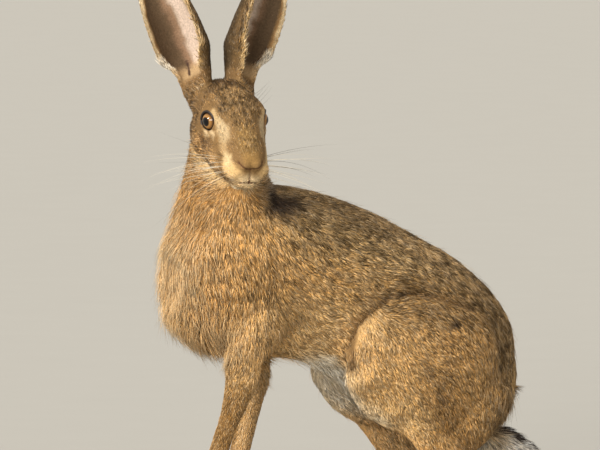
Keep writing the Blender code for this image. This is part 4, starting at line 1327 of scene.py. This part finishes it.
def lid_rim(side, material):
    """The dark bare edge of the lids, a ring that lies on the eye."""
    axis = eye_axis(side)
    across = unit(SKULL_FORWARD - axis * (SKULL_FORWARD @ axis))
    rise = np.cross(axis, across) * side
    path = []
    for k in range(48):
        turn = 2 * math.pi * k / 48
        wide = LID_RADII[0] * math.cos(turn)
        tall = LID_RADII[1] * math.sin(turn)
        # The corner at the front is drawn out to a point.
        wide += 1.6 * max(0.0, math.cos(turn)) ** 8
        reach = EYE_RADIUS + LID_OUT
        out = math.sqrt(max(reach**2 - wide**2 - tall**2, 0.0))
        path.append(eye_centre(side) + across * wide + rise * tall + axis * out)
    points, triangles = tube_arrays(path, np.full(48, LID_THICK), 8, closed=True)
    rim = mesh_of(f"lid_rim_{'left' if side > 0 else 'right'}", points, triangles)
    finish_piece(rim, material)


HAIR_SIDES = 4
HAIR_STEPS = 9
WHISKER_LIMIT_X = -199


def hair_arrays(root, way, droop, length, thick):
    """One whisker: a tapered tube that bends evenly from its first direction."""
    share = np.linspace(0, 1, HAIR_STEPS)[:, None]
    path = root + (way * share + droop * share**2) * length
    radii = thick * np.clip(1.02 - share[:, 0], 0.06, 1)
    return tube_arrays(path, radii, HAIR_SIDES)


def surface_tree(skin):
    return BVHTree.FromPolygons([Vector(p) for p in skin.points], [tuple(t) for t in skin.triangles])


def cast(tree, start, way):
    hit = tree.ray_cast(Vector(start), Vector(way))[0]
    return None if hit is None else np.array(hit)


# Whisker rows: height on the pad, first and last place along the muzzle, count.
WHISKER_ROWS = ((-8, 52, 40, 3), (-12, 53, 36, 4), (-16, 52, 33, 5), (-20, 50, 32, 4), (-24, 47, 34, 3))
WHISKER_RADIUS = 0.14


def make_whiskers(skin, tree, pale, dark):
    rng = np.random.default_rng(71)
    groups = {"whiskers_pale": [], "whiskers_dark": []}
    for side in (1, -1):
        for height, first, last, count in WHISKER_ROWS:
            for a in np.linspace(first, last, count):
                start = head_point(a, side * 60, height)
                root = cast(tree, start, -SKULL_LEFT * side)
                if root is None:
                    continue
                back = (52 - a) / 20
                way = SKULL_LEFT * side + SKULL_FORWARD * (0.35 - 0.75 * back)
                way = unit(way + SKULL_UP * rng.normal((height + 14) * 0.03, 0.10))
                droop = -UP * rng.uniform(0.10, 0.45) - SKULL_FORWARD * rng.uniform(0.1, 0.3)
                length = rng.uniform(42, 72) + 14 * back
                end_x = (root + (way + droop) * length)[0]
                if end_x < WHISKER_LIMIT_X:
                    length *= (WHISKER_LIMIT_X - root[0]) / (end_x - root[0])
                name = "whiskers_pale" if rng.random() < 0.62 else "whiskers_dark"
                groups[name].append(hair_arrays(root - SKULL_LEFT * side, way, droop, length, WHISKER_RADIUS))
        for k in range(5):
            start = head_point(6 - 4 * k, side * 14, 60)
            root = cast(tree, start, -SKULL_UP)
            if root is None:
                continue
            way = unit(SKULL_UP + SKULL_LEFT * side * rng.uniform(0.4, 0.9) + SKULL_FORWARD * 0.2)
            droop = -SKULL_FORWARD * rng.uniform(0.2, 0.5)
            brow = hair_arrays(root - SKULL_UP, way, droop, rng.uniform(18, 30), 0.13)
            groups["whiskers_dark"].append(brow)
    for name, material in (("whiskers_pale", pale), ("whiskers_dark", dark)):
        piece = mesh_of(name, *joined(groups[name]))
        finish_piece(piece, material)


HIND_TOES = ((-11.5, -24), (-4, -32), (4, -32), (11.5, -25))
FORE_TOES = ((-9.5, 20), (-3.4, 26), (3.4, 26), (9.5, 21))
HIP_SPREAD = 55
FORE_ANKLES = ((-150, -38), (-92, 34))
CLAW_HEIGHT = 5.0


def make_claws(material):
    tips = []
    for side in (1, -1):
        for across, reach in HIND_TOES:
            tips.append((reach, side * HIP_SPREAD + across, 9.0))
    for ankle, y in FORE_ANKLES:
        for across, reach in FORE_TOES:
            tips.append((ankle - reach, y + across, 7.5))
    arrays = []
    for x, y, length in tips:
        share = np.linspace(0, 1, 8)
        path = np.column_stack(
            (x + 3 - length * share, np.full(8, y), CLAW_HEIGHT + 1.2 * np.sin(share * 2.4) - 3.6 * share**2)
        )
        radii = 1.5 * np.sqrt(np.clip(1.03 - share, 0.01, 1))
        arrays.append(tube_arrays(path, radii, 8))
    piece = mesh_of("claws", *joined(arrays))
    finish_piece(piece, material)


# The photo's camera: seen from the left front, far away, with its frame in the tables' millimetres.
CAMERA_TURN = -25
CAMERA_RISE = 4.0
PIXELS = (600, 450)
PIXELS_PER_MM = 1.15
LENS = 600
SENSOR = 36
# The picture's middle, from the image place of the tables' origin.
ORIGIN_PIXEL = (340, 505)


def make_camera():
    turn = math.radians(CAMERA_TURN)
    rise = math.radians(CAMERA_RISE)
    back = Vector((math.sin(turn) * math.cos(rise), -math.cos(turn) * math.cos(rise), math.sin(rise)))
    right = Vector((math.cos(turn), math.sin(turn), 0))
    up = back.cross(right)
    across = (PIXELS[0] / 2 - ORIGIN_PIXEL[0]) / PIXELS_PER_MM
    height = (ORIGIN_PIXEL[1] - PIXELS[1] / 2) / PIXELS_PER_MM
    target = right * across + up * height + Vector(SHIFT)
    distance = PIXELS[0] / PIXELS_PER_MM * LENS / SENSOR
    data = bpy.data.cameras.new("camera")
    data.lens = LENS
    data.sensor_width = SENSOR
    data.clip_end = 100
    camera = new_object("camera", data)
    camera.location = (target + back * distance) * MM
    camera.rotation_euler = (-back).to_track_quat("-Z", "Y").to_euler()
    bpy.context.scene.camera = camera
    return right, up, back


def add_sun(name, way, strength, angle, colour):
    data = bpy.data.lights.new(name, "SUN")
    data.energy = strength
    data.angle = math.radians(angle)
    data.color = colour
    lamp = new_object(name, data)
    lamp.rotation_euler = way.to_track_quat("Z", "Y").to_euler()


FLOOR_REACH = 30
FLOOR_COLOUR = (178, 176, 169)


def make_studio(right, up, back):
    corners = [(x * FLOOR_REACH, y * FLOOR_REACH, 0) for x, y in ((-1, -1), (1, -1), (1, 1), (-1, 1))]
    data = bpy.data.meshes.new("floor")
    data.from_pydata(corners, [], [(0, 1, 2, 3)])
    floor = new_object("floor", data)
    data.materials.append(plain_material("floor", FLOOR_COLOUR, 0.95, 900, contrast=0.02))
    world = bpy.data.worlds.new("studio")
    world.use_nodes = True
    world.node_tree.nodes["Background"].inputs["Color"].default_value = (1.0, 0.96, 0.90, 1)
    world.node_tree.nodes["Background"].inputs["Strength"].default_value = 0.72
    bpy.context.scene.world = world
    add_sun("key", -right * 0.85 + up * 0.62 + back * 0.8, 3.05, 11, (1.0, 0.95, 0.88))
    add_sun("low", -right * 0.35 + up * 0.03 + back, 2.25, 24, (1.0, 0.95, 0.88))
    bpy.context.scene.view_settings.view_transform = "Standard"


def make_face(skin):
    tree = surface_tree(skin)
    lid = plain_material("lid_rim", (32, 22, 17), 0.55, 900)
    pale = plain_material("whisker_pale", (232, 222, 200), 0.4, 900)
    dark = plain_material("whisker_dark", (48, 38, 30), 0.4, 900)
    eye = eye_material()
    for side in (1, -1):
        make_eye(side, eye)
        lid_rim(side, lid)
    make_whiskers(skin, tree, pale, dark)


def main():
    make_studio(*make_camera())
    skin = make_skin()
    coat = coat_material("coat", 0.72, 900, 0.3)
    for kind in KINDS:
        grow_coat(skin, kind, coat)
    make_face(skin)
    make_claws(plain_material("claw", (52, 40, 32), 0.45, 500))


main()
